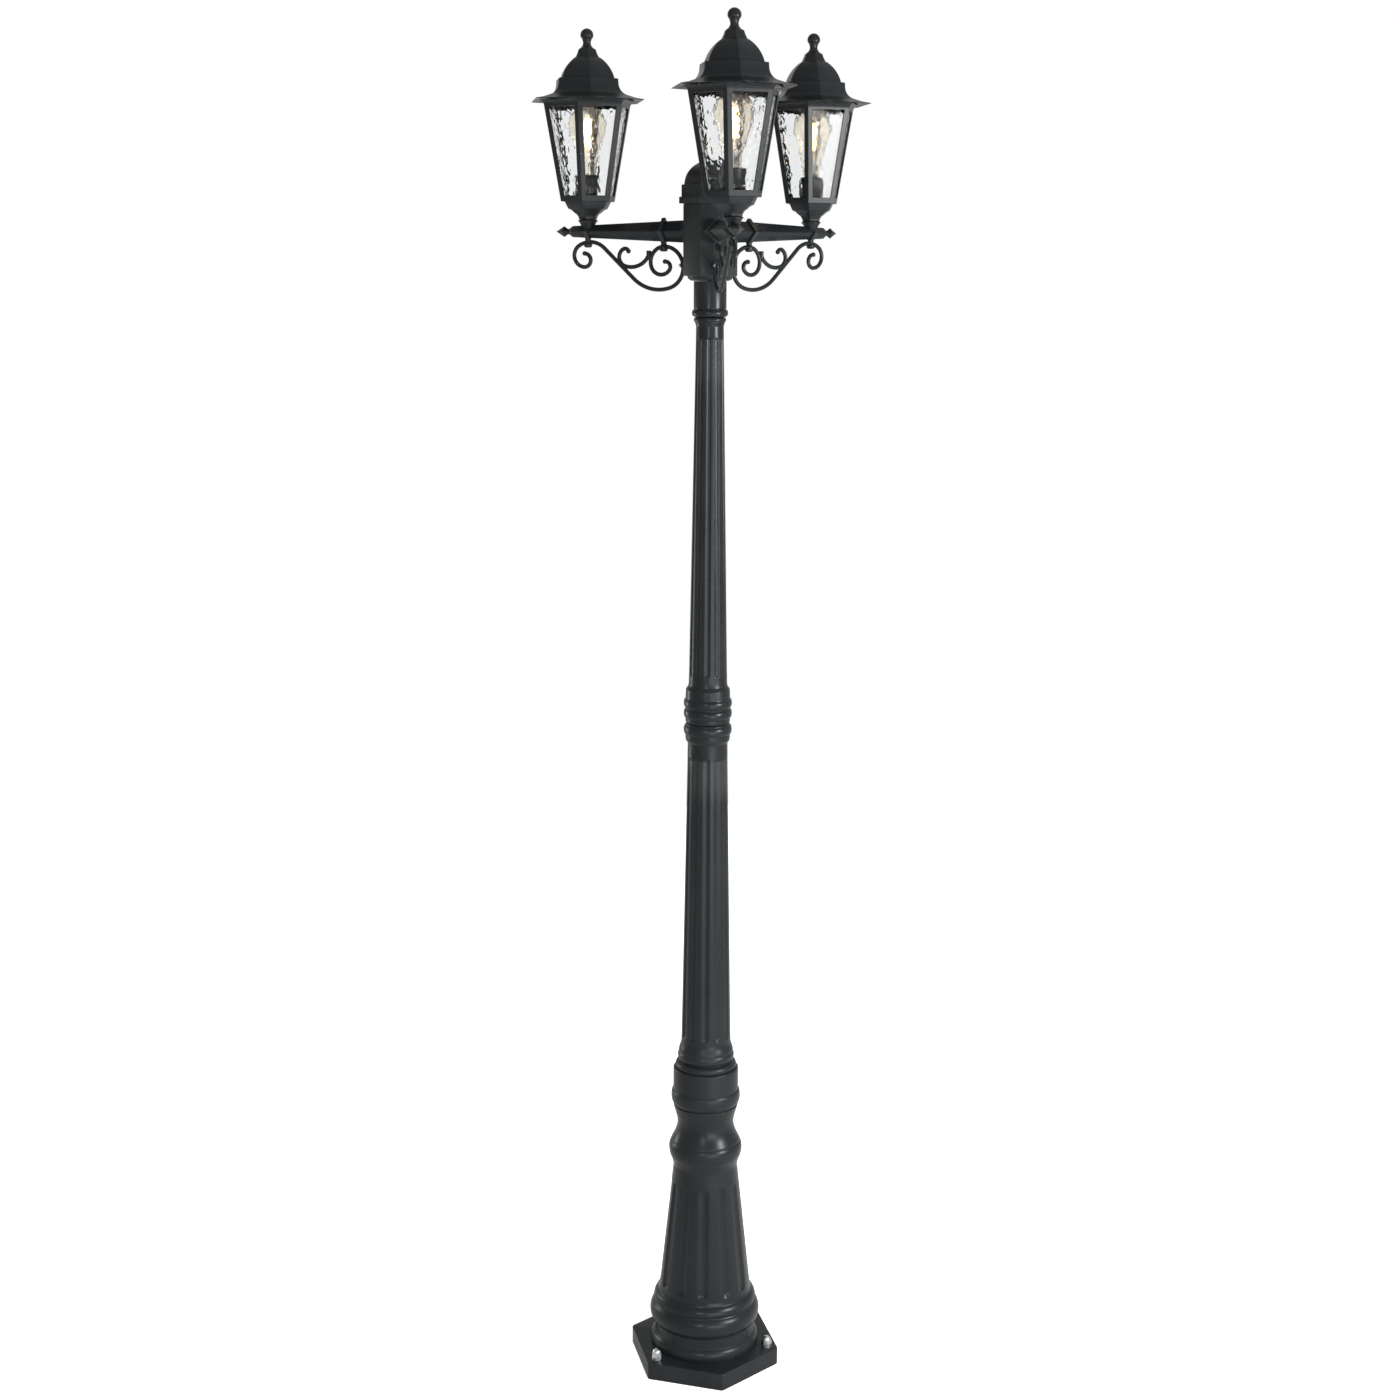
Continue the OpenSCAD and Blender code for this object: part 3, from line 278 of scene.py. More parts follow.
# %% Hammered pane glass
def pane_finish():
    material, tree, shader = new_finish("Hammered pane glass")
    link = tree.links.new
    place = node(tree, "ShaderNodeTexCoord")
    stretch = node(tree, "ShaderNodeMapping", Scale=(1.0, 1.0, 0.72))
    link(place.outputs["Object"], stretch.inputs["Vector"])
    wander = node(tree, "ShaderNodeTexNoise", Scale=68.0, Detail=2.0, Distortion=0.5)
    link(stretch.outputs["Vector"], wander.inputs["Vector"])
    dimples = node(tree, "ShaderNodeTexVoronoi", feature="SMOOTH_F1", Scale=145.0, Smoothness=0.9)
    link(stretch.outputs["Vector"], dimples.inputs["Vector"])
    both = node(tree, "ShaderNodeMath", operation="ADD")
    link(dimples.outputs["Distance"], both.inputs[0])
    link(wander.outputs["Fac"], both.inputs[1])
    bump = node(tree, "ShaderNodeBump", Strength=1.0, Distance=0.0008)
    link(both.outputs[0], bump.inputs["Height"])
    link(bump.outputs["Normal"], shader.inputs["Normal"])
    shader.inputs["Base Color"].default_value = (0.905, 0.915, 0.915, 1)
    shader.inputs["Specular Tint"].default_value = (0.08, 0.08, 0.08, 1)
    shader.inputs["Transmission Weight"].default_value = 1.0
    shader.inputs["Roughness"].default_value = 0.03
    shader.inputs["IOR"].default_value = 1.5
    return material


hammered_glass = pane_finish()
print("glass:", hammered_glass.name)


# %% Bulb glass and filament
def glow_tinted_bulb_finish():
    material, tree, shader = new_finish("Warm clear bulb glass")
    # The warm tint here is painted glow: it stands in for the warm light of the lit filament, not a colour
    # of the clear glass.
    shader.inputs["Base Color"].default_value = (1.0, 0.955, 0.87, 1)
    shader.inputs["Transmission Weight"].default_value = 1.0
    shader.inputs["Roughness"].default_value = 0.14
    shader.inputs["IOR"].default_value = 1.45
    return material


def filament_finish():
    material, tree, shader = new_finish("Glowing filament")
    shader.inputs["Base Color"].default_value = (0.2, 0.1, 0.05, 1)
    shader.inputs["Emission Color"].default_value = (1.0, 0.62, 0.27, 1)
    shader.inputs["Emission Strength"].default_value = 12.0
    return material


bulb_glass = glow_tinted_bulb_finish()
filament = filament_finish()

# %% Give the nodes that stay their finishes
SLOT_FINISH = {"castings": paint, "fixings": zinc, "tubes": galvanised, "black_insulation": moulding,
    "rubber": rubber, "terminal": steatite, "pane_glass": hammered_glass, "bulb_glass": bulb_glass,
    "bulb_cap": brass}
for part in frame["record"]["subparts"]:
    mesh = nodes[part["node"]].data
    mesh.materials.clear()
    mesh.materials.append(SLOT_FINISH[part["material_slot"]])

# %% [markdown]
# ## Shapes
#
# Nearly every casting here is a profile carried round an outline: a circle for the post, a
# hexagon for the lanterns and the head, a square on its edge for the arms. A foundry rounds
# every corner a little, and that thin line of light along an edge is most of what tells the
# eye that a casting is real. So profiles and outlines both get small rounds of their own.


# %% Outlines and rounded profiles
def polygon(radius, sides, corner, steps=3):
    """A regular outline with rounded corners, its first corner on +X."""
    half = radians(180 / sides)
    corner = min(corner, 0.3 * radius)
    core = radius - corner / cos(half)
    points = []
    for k in range(sides):
        for i in range(steps + 1):
            a = 2 * half * k - half + 2 * half * i / steps
            points.append((core * cos(2 * half * k) + corner * cos(a),
                core * sin(2 * half * k) + corner * sin(a)))
    return points


def hexagon(radius, corner=1.3):
    return polygon(radius, 6, corner)


def edge_square(radius, corner=1.1):
    return polygon(radius, 4, corner)


def circle(radius, count=72):
    return [(radius * cos(2 * pi * i / count), radius * sin(2 * pi * i / count)) for i in range(count)]


def arc(centre, rx, rz, start, stop, steps=8):
    """Points of a circular or elliptic arc, angles in degrees."""
    return [(centre[0] + rx * cos(radians(start + (stop - start) * i / steps)),
        centre[1] + rz * sin(radians(start + (stop - start) * i / steps))) for i in range(steps + 1)]


def bead(r, bulge, low, high, steps=12):
    return [(r + bulge * sin(pi * i / steps), (low + high) / 2 - (high - low) / 2 * cos(pi * i / steps))
        for i in range(steps + 1)]


def softened(profile, size=0.8, steps=3, least=18):
    """The profile with each corner that turns more than a few degrees cut by a small curve."""
    made = [profile[0]]
    for a, p, b in zip(profile, profile[1:], profile[2:]):
        before, after = hypot(p[0] - a[0], p[1] - a[1]), hypot(b[0] - p[0], b[1] - p[1])
        if min(before, after) < 1e-6:
            continue
        bend = degrees(atan2(b[1] - p[1], b[0] - p[0]) - atan2(p[1] - a[1], p[0] - a[0]))
        bend = abs((bend + 180) % 360 - 180)
        if bend < least:
            made.append(p)
            continue
        s, e = min(size, 0.45 * before) / before, min(size, 0.45 * after) / after
        start = (p[0] + (a[0] - p[0]) * s, p[1] + (a[1] - p[1]) * s)
        stop = (p[0] + (b[0] - p[0]) * e, p[1] + (b[1] - p[1]) * e)
        for i in range(steps + 1):
            t = i / steps
            made.append(tuple((1 - t) ** 2 * start[n] + 2 * t * (1 - t) * p[n] + t * t * stop[n]
                for n in (0, 1)))
    return made + [profile[-1]]


# %% [markdown]
# A loft joins the same outline at each step of a profile. Parts are kept as plain lists of
# points and faces until they are finished, so that they can be turned, laid down and joined.


# %% Lofts and how to move them
def skin(rings, closed=False):
    """Points and faces through rings of equal length; an open skin gets a face at each end."""
    count = len(rings[0])
    points = [p for ring in rings for p in ring]
    faces = []
    for r in range(len(rings) if closed else len(rings) - 1):
        a, b = r * count, (r + 1) % len(rings) * count
        faces += [(a + i, a + (i + 1) % count, b + (i + 1) % count, b + i) for i in range(count)]
    if not closed:
        faces += [tuple(reversed(range(count))), tuple(range(len(points) - count, len(points)))]
    return points, faces


def loft(profile, outline, closed=False):
    """Carries a profile of [radius, height] round an outline."""
    return skin([[(x, y, z) for x, y in outline(max(r, 0.02))] for r, z in profile], closed)


def moved(part, turn=0, shift=(0, 0, 0)):
    c, s = cos(radians(turn)), sin(radians(turn))
    points = [(x * c - y * s + shift[0], x * s + y * c + shift[1], z + shift[2]) for x, y, z in part[0]]
    return points, part[1]


def laid(part):
    """Lays a part that was drawn up Z along X."""
    return [(z, y, -x) for x, y, z in part[0]], part[1]


def joined(*parts):
    points, faces = [], []
    for part_points, part_faces in parts:
        faces += [tuple(i + len(points) for i in face) for face in part_faces]
        points += part_points
    return points, faces


def block(low, high):
    (x0, y0, z0), (x1, y1, z1) = low, high
    return skin([[(x0, y0, z), (x1, y0, z), (x1, y1, z), (x0, y1, z)] for z in (z0, z1)])


def placed(name, part, matrix=None, sharp=32, rounding=0.0):
    """A piece from a part: normals outward, edges kept, and a small bevel if asked for."""
    piece = mesh_piece(name, *part, sharp=sharp)
    work = bmesh.new()
    work.from_mesh(piece.data)
    bmesh.ops.recalc_face_normals(work, faces=work.faces)
    work.to_mesh(piece.data)
    work.free()
    if matrix is not None:
        piece.data.transform(matrix)
    if rounding:
        bevel = piece.modifiers.new("Rounded arrises", "BEVEL")
        bevel.width = rounding * MM
        bevel.segments = 2
        bevel.limit_method = "ANGLE"
        bevel.angle_limit = radians(30)
    return piece


# %% [markdown]
# ## The post
#
# The post is four castings and a socket, each turned from a pattern. The flutes are the
# signature of the pattern maker: round-nosed grooves with a round end. Rather than cutting
# them, the surface is worked out. Where the round nose of the cutter reaches deeper than the
# turned surface, the cutter's surface is used. The grid of the mesh follows the two edges of
# each flute, so the arrises stay clean.


# %% Turned and fluted castings
FLUTES = 12
FLUTE_TURN = -90 - 11


def cutter_at(flute, z):
    """Centre distance and radius of a flute's cutter at a height, or no radius past its ends."""
    z_low, r_low, z_high, r_high, nose_low, nose_high, depth = flute
    t = min(max((z - z_low) / (z_high - z_low), 0), 1)
    nose = nose_low + (nose_high - nose_low) * t
    centre = (r_low - depth + nose_low) * (1 - t) + (r_high - depth + nose_high) * t
    past = max(z_low - z, z - z_high, 0)
    return centre, sqrt(max(nose * nose - past * past, 0))


def half_width(centre, nose, r):
    """Half angle at which a cutter's surface meets the turned surface of radius r."""
    if nose <= 0 or r <= centre - nose:
        return 0.0
    return acos(min(1, max(-1, (r * r + centre * centre - nose * nose) / (2 * r * centre))))


def fluted(profile, flute, land_steps=6, flute_steps=8):
    """A turned skin with flutes; rings are added along the fluted stretch."""
    z_low, z_high, reach_low, reach_high = flute[0], flute[2], flute[4], flute[5]
    rings = []
    heights = sorted({round(z_low - reach_low * cos(radians(a)), 3) for a in range(0, 91, 6)}
        | {round(z_high + reach_high * cos(radians(a)), 3) for a in range(0, 91, 6)}
        | {z_low + (z_high - z_low) * i / 12 for i in range(13)})
    full = []
    for (r0, z0), (r1, z1) in zip(profile, profile[1:]):
        full.append((r0, z0))
        if z1 > z0 + 20:
            full += [(r0 + (r1 - r0) * (z - z0) / (z1 - z0), z) for z in heights if z0 + 0.5 < z < z1 - 0.5]
    full.append(profile[-1])
    pitch = 2 * pi / FLUTES
    for r, z in full:
        centre, nose = cutter_at(flute, z)
        half = half_width(centre, nose, r)
        plain = pitch / 2 * flute_steps / (flute_steps + land_steps)
        span_half = max(half, 0.02) if half else plain
        ring = []
        for k in range(FLUTES):
            middle = radians(FLUTE_TURN) + pitch * k
            for i in range(flute_steps + 1):
                a = -span_half + 2 * span_half * i / flute_steps
                deep = r
                if half > 0 and abs(a) < half and centre * abs(sin(a)) < nose:
                    deep = min(r, centre * cos(a) - sqrt(nose * nose - (centre * sin(a)) ** 2))
                ring.append((deep * cos(middle + a), deep * sin(middle + a), z))
            for i in range(1, land_steps):
                a = span_half + (pitch - 2 * span_half) * i / land_steps
                ring.append((r * cos(middle + a), r * sin(middle + a), z))
        rings.append(ring)
    return skin(rings)


# %% Base column, collar and shafts
column_z = plate_h
collar_z = span("neck_collar")[0][2]
collar_h = span("neck_collar")[1][2] - collar_z
lower_z = span("lower_shaft")[0][2]
upper_z = span("upper_shaft")[0][2]
lower_len = upper_z - lower_z
socket_z = span("top_socket")[0][2]
upper_len = socket_z - upper_z
head_z = span("head_housing")[0][2]
column_h = collar_z - column_z

FOOT_RING_R, GROOVE_R, TORUS_R, BULB_R, NECK_R, COLLAR_R = 100, 92, 101.6, 67, 51.6, 59.4
TORUS_Z, BULB_Z, NECK_Z = 64.5, 387, 433.5
BELL_FOOT_R, BELL_TOP_R, BELL_Z, BELL_H = 84.3, 59.6, 111, 233
foot_ring = ([(40, 0), (FOOT_RING_R - 1.2, 0)] + arc((FOOT_RING_R - 14, 7.5), 14, 17, -22, 62, 12)
    + [(GROOVE_R + 0.4, 24), (GROOVE_R, 30.5), (GROOVE_R, 44)])
double_bead = (arc((TORUS_R - 11, TORUS_Z), 11, 21, -75, 0, 9)
    + arc((TORUS_R - 22, TORUS_Z), 22, 24, 5, 50, 9) + [(TORUS_R - 8.9, TORUS_Z + 20.5)]
    + arc((TORUS_R - 22, TORUS_Z + 23.5), 15.3, 18, 3, 62, 9))
bell = [(BELL_FOOT_R + 1.3, BELL_Z - 3.6), (BELL_FOOT_R, BELL_Z), (BELL_TOP_R, BELL_Z + BELL_H),
    (BELL_TOP_R - 0.8, BELL_Z + BELL_H + 9.5)]
bulge = (arc((BULB_R - 11, BULB_Z), 11, 24, -55, 0, 7) + arc((BULB_R - 11, BULB_Z), 11, 17, 8, 48, 6)
    + [(62.4, 400.8), (62.7, 402.4), (60.3, 406.8), (57.7, 412), (55.2, 418), (53.2, 424.5), (52.2, 429)])
neck = [(NECK_R, NECK_Z), (NECK_R, column_h - 32), (53.2, column_h - 24), (56, column_h - 14),
    (COLLAR_R - 1, column_h - 5), (COLLAR_R, column_h - 0.6), (45, column_h - 0.6)]
column_profile = foot_ring + double_bead + bell + bulge + neck
bell_lean = (BELL_FOOT_R - BELL_TOP_R) / BELL_H
column_flute = (BELL_Z + 18, BELL_FOOT_R - 18 * bell_lean, BELL_Z + 205, BELL_FOOT_R - 205 * bell_lean,
    17, 14, 3.6)
column_skin = fluted(softened(column_profile, 1.6), column_flute)
column = placed("Base column", moved(column_skin, shift=(0, 0, column_z)), sharp=50)
dress(column, "post", "castings", paint, "base_column")

collar_profile = ([(45, 0.3), (COLLAR_R - 1, 0.3), (COLLAR_R - 0.8, 2), (COLLAR_R, 3)]
    + bead(COLLAR_R, 3.6, 3, 28.5) + arc((COLLAR_R - 3.5, collar_h - 3.5), 3.5, 3.5, 0, 90, 5)
    + [(46, collar_h)])
collar_skin = loft(softened(collar_profile), circle)
collar = placed("Neck collar", moved(collar_skin, shift=(0, 0, collar_z)), sharp=50)
dress(collar, "post", "castings", paint, "neck_collar")

LOWER_FOOT_R, LOWER_TOP_R, BAND_R, RING_R = 45, 35.2, 39.4, 42.5
lower_profile = ([(40, 0), (54.6, 0)] + arc((49.5, 4.5), 6, 7.5, -20, 75, 9) + [(47.4, 13)]
    + arc((46.3, 23), 5, 9, -75, 45, 9) + [(49.2, 31.5), (49.5, 33.5), (48.4, 38), (46.6, 43),
        (LOWER_FOOT_R, 49), (LOWER_TOP_R, lower_len - 36.5), (38.8, lower_len - 31.5),
        (BAND_R, lower_len - 27.5), (BAND_R, lower_len - 21.5)]
    + bead(BAND_R, RING_R - BAND_R, lower_len - 20.5, lower_len - 4) + [(BAND_R, lower_len - 3),
    (38.2, lower_len - 0.4), (28, lower_len - 0.4)])
lower_lean = (LOWER_FOOT_R - LOWER_TOP_R) / (lower_len - 85.5)
lower_flute = (66, LOWER_FOOT_R - 17 * lower_lean, lower_len - 66.5, LOWER_TOP_R + 30 * lower_lean,
    11, 9, 2.5)
lower_skin = fluted(softened(lower_profile), lower_flute)
lower = placed("Lower shaft", moved(lower_skin, shift=(0, 0, lower_z)), sharp=50)
dress(lower, "post", "castings", paint, "lower_shaft")

UPPER_FOOT_R, UPPER_TOP_R = 33.8, 23.6
upper_profile = ([(28, 0.4), (38.2, 0.4), (BAND_R, 2.8), (BAND_R, 8)] + bead(BAND_R, 3.1, 9, 25)
    + bead(40, 2.5, 28.5, 42.5) + [(BAND_R, 44), (38.8, 60), (34.6, 66), (UPPER_FOOT_R, 72),
    (UPPER_TOP_R, upper_len - 15), (25.6, upper_len - 9)] + bead(25.6, 1.9, upper_len - 8, upper_len - 0.4)
    + [(20, upper_len - 0.2)])
upper_lean = (UPPER_FOOT_R - UPPER_TOP_R) / (upper_len - 87)
upper_flute = (90, UPPER_FOOT_R - 18 * upper_lean, upper_len - 38, UPPER_TOP_R + 23 * upper_lean, 8, 6, 2)
upper_skin = fluted(softened(upper_profile), upper_flute)
upper = placed("Upper shaft", moved(upper_skin, shift=(0, 0, upper_z)), sharp=50)
dress(upper, "post", "castings", paint, "upper_shaft")

SOCKET_R = 27.9
socket_h = head_z - socket_z - 0.2
socket_profile = ([(18.5, 0.2), (SOCKET_R - 2, 0.2)] + bead(SOCKET_R - 0.7, 3.7, 1, 13)
    + [(SOCKET_R, 15), (SOCKET_R, socket_h), (14, socket_h)])
socket_skin = loft(softened(socket_profile), circle)
socket = placed("Head socket", moved(socket_skin, shift=(0, 0, socket_z)), sharp=50)
dress(socket, "post", "castings", paint, "top_socket")
print("post castings:", [len(o.data.polygons) for o in (column, collar, lower, upper, socket)])

# %% [markdown]
# ## The foot
#
# The foot is a shallow hexagonal box, open beneath, with a boss under each bolt. Three of its
# corners carry a cap nut on a washer: the part of the anchor that shows.


# %% Foot casting
FOOT_TURN = -90 + 4.8
FOOT_R, FOOT_WALL, FLOOR_Z = 143, 9.2, 24.5
BOSS_R, STUD_HOLE_R = 12.5, 5.5
STAND_R, STAND_H, STAND_X = 5, 48, 22
anchor_r = 121


def foot_outline(radius):
    return polygon(radius, 6, 7 if radius > 60 else 0.3 * radius, 5)


foot_profile = [(FOOT_R - FOOT_WALL, FLOOR_Z), (FOOT_R - FOOT_WALL, 0), (FOOT_R, 0), (FOOT_R, plate_h),
    (16, plate_h), (16, FLOOR_Z), (FOOT_R - FOOT_WALL, FLOOR_Z)]
foot_skin = loft(softened(foot_profile, 1.5)[:-1], foot_outline, closed=True)
boss_profile = [(BOSS_R, 25), (BOSS_R, 0.2), (STUD_HOLE_R, 0.2), (STUD_HOLE_R, 25)]
boss = loft(boss_profile, lambda r: circle(r, 32))
bosses = [moved(moved(boss, 0, (anchor_r, 0, 0)), FOOT_TURN + 60 + 120 * k) for k in range(3)]
stand = loft([(STAND_R, plate_h - 1), (STAND_R, plate_h + STAND_H)], lambda r: circle(r, 24))
stands = [moved(stand, 0, (x, 0, 0)) for x in (STAND_X, -STAND_X)]
foot = placed("Foot casting", joined(moved(foot_skin, FOOT_TURN), *bosses, *stands), sharp=40)
dress(foot, "post", "castings", paint, "base_plate")


# %% Cap nuts and washers
WASHER_R, WASHER_BORE_R, WASHER_T = 9.2, 5.3, 3
NUT_R, DOME_R, DOME_Z, DOME_H = 9.7, 7.8, 13.9, 7.3


def cap_nut():
    """A cap nut on its washer: chamfered hexagon, narrow shoulder and dome."""
    washer_profile = [(WASHER_BORE_R, 0), (WASHER_R, 0), (WASHER_R, WASHER_T), (WASHER_BORE_R, WASHER_T)]
    washer = loft(softened(washer_profile, 0.4), circle)
    flats = loft([(8.6, WASHER_T), (NUT_R, 3.6), (NUT_R, 12.5), (8.4, 13.5)],
        lambda r: polygon(r, 6, 0.4, 2))
    dome = loft([(7.6, 13.1), (DOME_R, DOME_Z)] + arc((0, DOME_Z), DOME_R, DOME_H, 4, 88, 10), circle)
    return washer, joined(flats, dome)


washer, nut = cap_nut()
nut_places = [FOOT_TURN + 60 + 120 * k for k in range(3)]
on_plate = (anchor_r, 0, plate_h)
washers = placed("Anchor washers", joined(*[moved(moved(washer, 0, on_plate), t) for t in nut_places]))
nuts = placed("Anchor cap nuts", joined(*[moved(moved(moved(nut, 12 + 17 * n), 0, on_plate), t)
    for n, t in enumerate(nut_places)]))
dress(washers, "post", "fixings", zinc, "anchor_washers")
dress(nuts, "post", "fixings", zinc, "anchor_nuts")
print("foot:", len(foot.data.polygons), "nuts:", len(nuts.data.polygons))

# %% [markdown]
# ## The head
#
# The head is a hexagonal box with a flat face to each arm. Its lid is a second casting that
# drops over the top: a flange, a step and a dome in six facets.


# %% Head and lid
HEAD_R, LID_R, FLANGE_TOP, STEP_TOP = 46.6, 53.9, 11.4, 31.4
head_top = span("lid_gasket")[0][2]
head_h = head_top - head_z
bowl = loft([(20, 0.3), (28.5, 0.3)] + arc((29.36, 8.5), 9.4, 8.2, -80, 0, 8) + [(30, 9)], circle)
box_profile = [(30, 8.3), (HEAD_R, 8.3), (HEAD_R, head_h - 0.3), (41, head_h - 0.3)]
box_skin = loft(softened(box_profile, 1.2), lambda r: hexagon(r, 1.8))
head = placed("Head casting", moved(joined(bowl, box_skin), shift=(0, 0, head_z)))
dress(head, "post", "castings", paint, "head_housing")

lid_profile = ([(41, 0.4), (LID_R, 0.4), (LID_R, FLANGE_TOP), (LID_R - 4.1, FLANGE_TOP),
    (LID_R - 4.1, STEP_TOP), (45.6, STEP_TOP)] + arc((0, 31.8), 45, 39.6, 2, 89, 16))
lid_skin = loft(softened(lid_profile, 1.2), lambda r: hexagon(r, 2.0))
lid = placed("Head lid", moved(lid_skin, shift=(0, 0, head_top)), sharp=28)
dress(lid, "post", "castings", paint, "head_lid")
print("head:", len(head.data.polygons), "lid:", len(lid.data.polygons))

# %% [markdown]
# ## Arms and scrolls
#
# An arm is a square bar that stands on its edge and tapers outward, so its two upper faces
# catch the light like a roof. The scroll under it is round bar. A bender makes such a scroll
# from a few arcs in turn, each starting where the last ended and in its direction, and the
# same list of arcs is followed here.

# %% Arms and tips
ARM_ROOT_HALF, ARM_END_HALF = 19, 9.9
head_flat = HEAD_R * COS30
arm_root = head_flat + 8
arm_end = reach + 29
arm_profile = [(12, head_flat + 0.2), (ARM_ROOT_HALF + 1.3, head_flat + 0.2),
    (ARM_ROOT_HALF + 1.3, arm_root), (ARM_ROOT_HALF, arm_root), (ARM_END_HALF, arm_end),
    (5, arm_end + 7), (1, arm_end + 7)]
tip_profile = [(1, 0), (5, 0), (5, 2), (9.5, 9), (0.3, 23.6)]
tip_skin = loft(softened(tip_profile, 0.7), lambda r: edge_square(r, 0.7))


def arm_place(turn):
    return Matrix.Translation((0, 0, arm_z * MM)) @ Matrix.Rotation(radians(turn), 4, "Z")


for side, turn in ARM_TURNS.items():
    arm = placed("Arm " + side, laid(loft(softened(arm_profile, 0.9), edge_square)), arm_place(turn))
    dress(arm, "post", "castings", paint, "arm_" + side)
    tip = placed("Arm tip " + side, laid(moved(tip_skin, shift=(0, 0, arm_end + 7))), arm_place(turn))
    dress(tip, "post", "castings", paint, "arm_tip_" + side)
print("arm length", round(arm_end + 7 - head_flat, 1))

# %% Scrolls of round bar
BAR_R, BALL_R = 3.5, 4.0
LUG_Z, INNER_KNOB_X, KNUCKLE_X = -56, 85, 112.5
LONG_START = (232.7, -36.8, 180)
LONG_PIECES = [(11.5, 180), (19.5, 146), (39, 77), (74.5, 0), (68, -60), (35.5, -153), (26, -118),
    (19, -125), (9, -133)]
SHORT_START = (150.2, -32.9, 70)
SHORT_PIECES = [(6.8, -100.5), (15.6, -132), (37.5, -72)]


def along(start, pieces, step=1.6):
    """Poses (x, z, heading) along a chain of arcs; a piece with no turn is straight."""
    x, z, heading = start
    poses = [start]
    for size, turn in pieces:
        length = abs(radians(turn)) * size if turn else size
        count = max(2, round(length / step))
        for _ in range(count):
            if turn:
                sign, bend = (1 if turn > 0 else -1), turn / count
                h = heading + bend
                x += sign * size * (sin(radians(h)) - sin(radians(heading)))
                z -= sign * size * (cos(radians(h)) - cos(radians(heading)))
                heading = h
            else:
                x += size / count * cos(radians(heading))
                z += size / count * sin(radians(heading))
            poses.append((x, z, heading))
    return poses


def round_bar(poses, radius=BAR_R, count=20):
    rings = []
    for x, z, heading in poses:
        across = (-sin(radians(heading)), cos(radians(heading)))
        rings.append([(x + radius * cos(2 * pi * i / count) * across[0], radius * sin(2 * pi * i / count),
            z + radius * cos(2 * pi * i / count) * across[1]) for i in range(count)])
    return skin(rings)


def ball(x, z, radius):
    return moved(loft(arc((0, 0), radius, radius, -89, 89, 12), lambda r: circle(r, 28)), shift=(x, 0, z))


def knob(x, low, height, top):
    """A stub with a rounded knob at its foot."""
    profile = ([(3, low)] + arc((3.2, low + 4), 4, 4, -80, 0, 5)
        + [(7.2, low + height - 2), (5, low + height), (5, top)])
    return moved(loft(softened(profile, 0.8), lambda r: circle(r, 36)), shift=(x, 0, 0))


def scroll_part():
    """Both bars with a ball at each end, the knobs under the arm, the lug and the knuckle."""
    long_poses, short_poses = along(LONG_START, LONG_PIECES), along(SHORT_START, SHORT_PIECES)
    ends = [long_poses[0], long_poses[-1], short_poses[0], short_poses[-1]]
    lug_profile = [(2, 0), (4.2, 0), (4.2, 13.2), (2, 13.2)]
    lug = loft(softened(lug_profile, 0.6), lambda r: circle(r, 28))
    lug = moved(laid(moved(lug, shift=(0, 0, head_flat))), shift=(0, 0, LUG_Z))
    knuckle_profile = [(2, 0), (4.3, 0), (4.3, 13), (2, 13)]
    knuckle = moved(loft(softened(knuckle_profile, 1.2), lambda r: circle(r, 28)),
        shift=(KNUCKLE_X, 0, short_poses[-1][1] - 1))
    balls = [ball(x, z, BALL_R) for x, z, _ in ends]
    return joined(round_bar(long_poses), round_bar(short_poses), *balls, knob(reach, -27, 8.5, -12),
        knob(INNER_KNOB_X, -33.4, 11, -18.5), lug, knuckle)


scroll_shape = scroll_part()
for side, turn in ARM_TURNS.items():
    scroll = placed("Scroll " + side, scroll_shape, arm_place(turn), sharp=50)
    dress(scroll, "post", "castings", paint, "scroll_" + side)
print("scroll faces:", len(scroll_shape[1]))

# %% [markdown]
# ## Lanterns
#
# A lantern stands on a stepped cup whose stem is notched to sit over the arm. Each part of it
# is drawn once, about its own axis, and placed three times.


# %% Cups
FRAME_TURN = -17.5
cup_z = frame_foot_z - 30


def lantern_place(turn, z, spin=0.0):
    return (Matrix.Rotation(radians(turn), 4, "Z") @ Matrix.Translation((reach * MM, 0, z * MM))
        @ Matrix.Rotation(radians(spin), 4, "Z"))


cup_steps = softened([(8, 0.5), (16.6, 0.5), (16.8, 2.7), (17.4, 4.6), (20.2, 8.5), (25.9, 12.4),
    (28.2, 14.5), (32.4, 17.2), (34.6, 17.4), (36.6, 19.5), (42, 29.9), (20, 29.9)], 0.8)
stem_steps = [(7.5, -18), (12.2, -9)] + arc((14.6, -2), 2.2, 2, -70, 90, 8) + [(9, 1)]
cup_shape = joined(loft(cup_steps, lambda r: hexagon(r, 1.6)), loft(softened(stem_steps, 0.6), circle))
for side, turn in ARM_TURNS.items():
    cup = placed("Cup " + side, cup_shape, lantern_place(turn, cup_z, FRAME_TURN))
    dress(cup, "post", "castings", paint, "cup_" + side)

# %% [markdown]
# The glazed frame is one casting: a sill, six bars and a top rail that flares out into a
# drip lip. Its skin is laid out as rings of eighteen points, three to a side, so that the
# window of each side is simply a patch left out, with four narrow faces for its reveals. A
# bevel modifier then rounds every arris at once.

# %% Glazed frames
FOOT_FRAME_R, TOP_FRAME_R, RAIL_Z = 48.6, 77.3, 159
FRAME_WALL, STILE, SILL_H, WINDOW_TOP, FLOOR_T = 3, 8.4, 9.6, 155, 3
frame_lean = atan((TOP_FRAME_R - FOOT_FRAME_R) * COS30 / RAIL_Z)


def frame_r(z):
    return FOOT_FRAME_R + (TOP_FRAME_R - FOOT_FRAME_R) * z / RAIL_Z


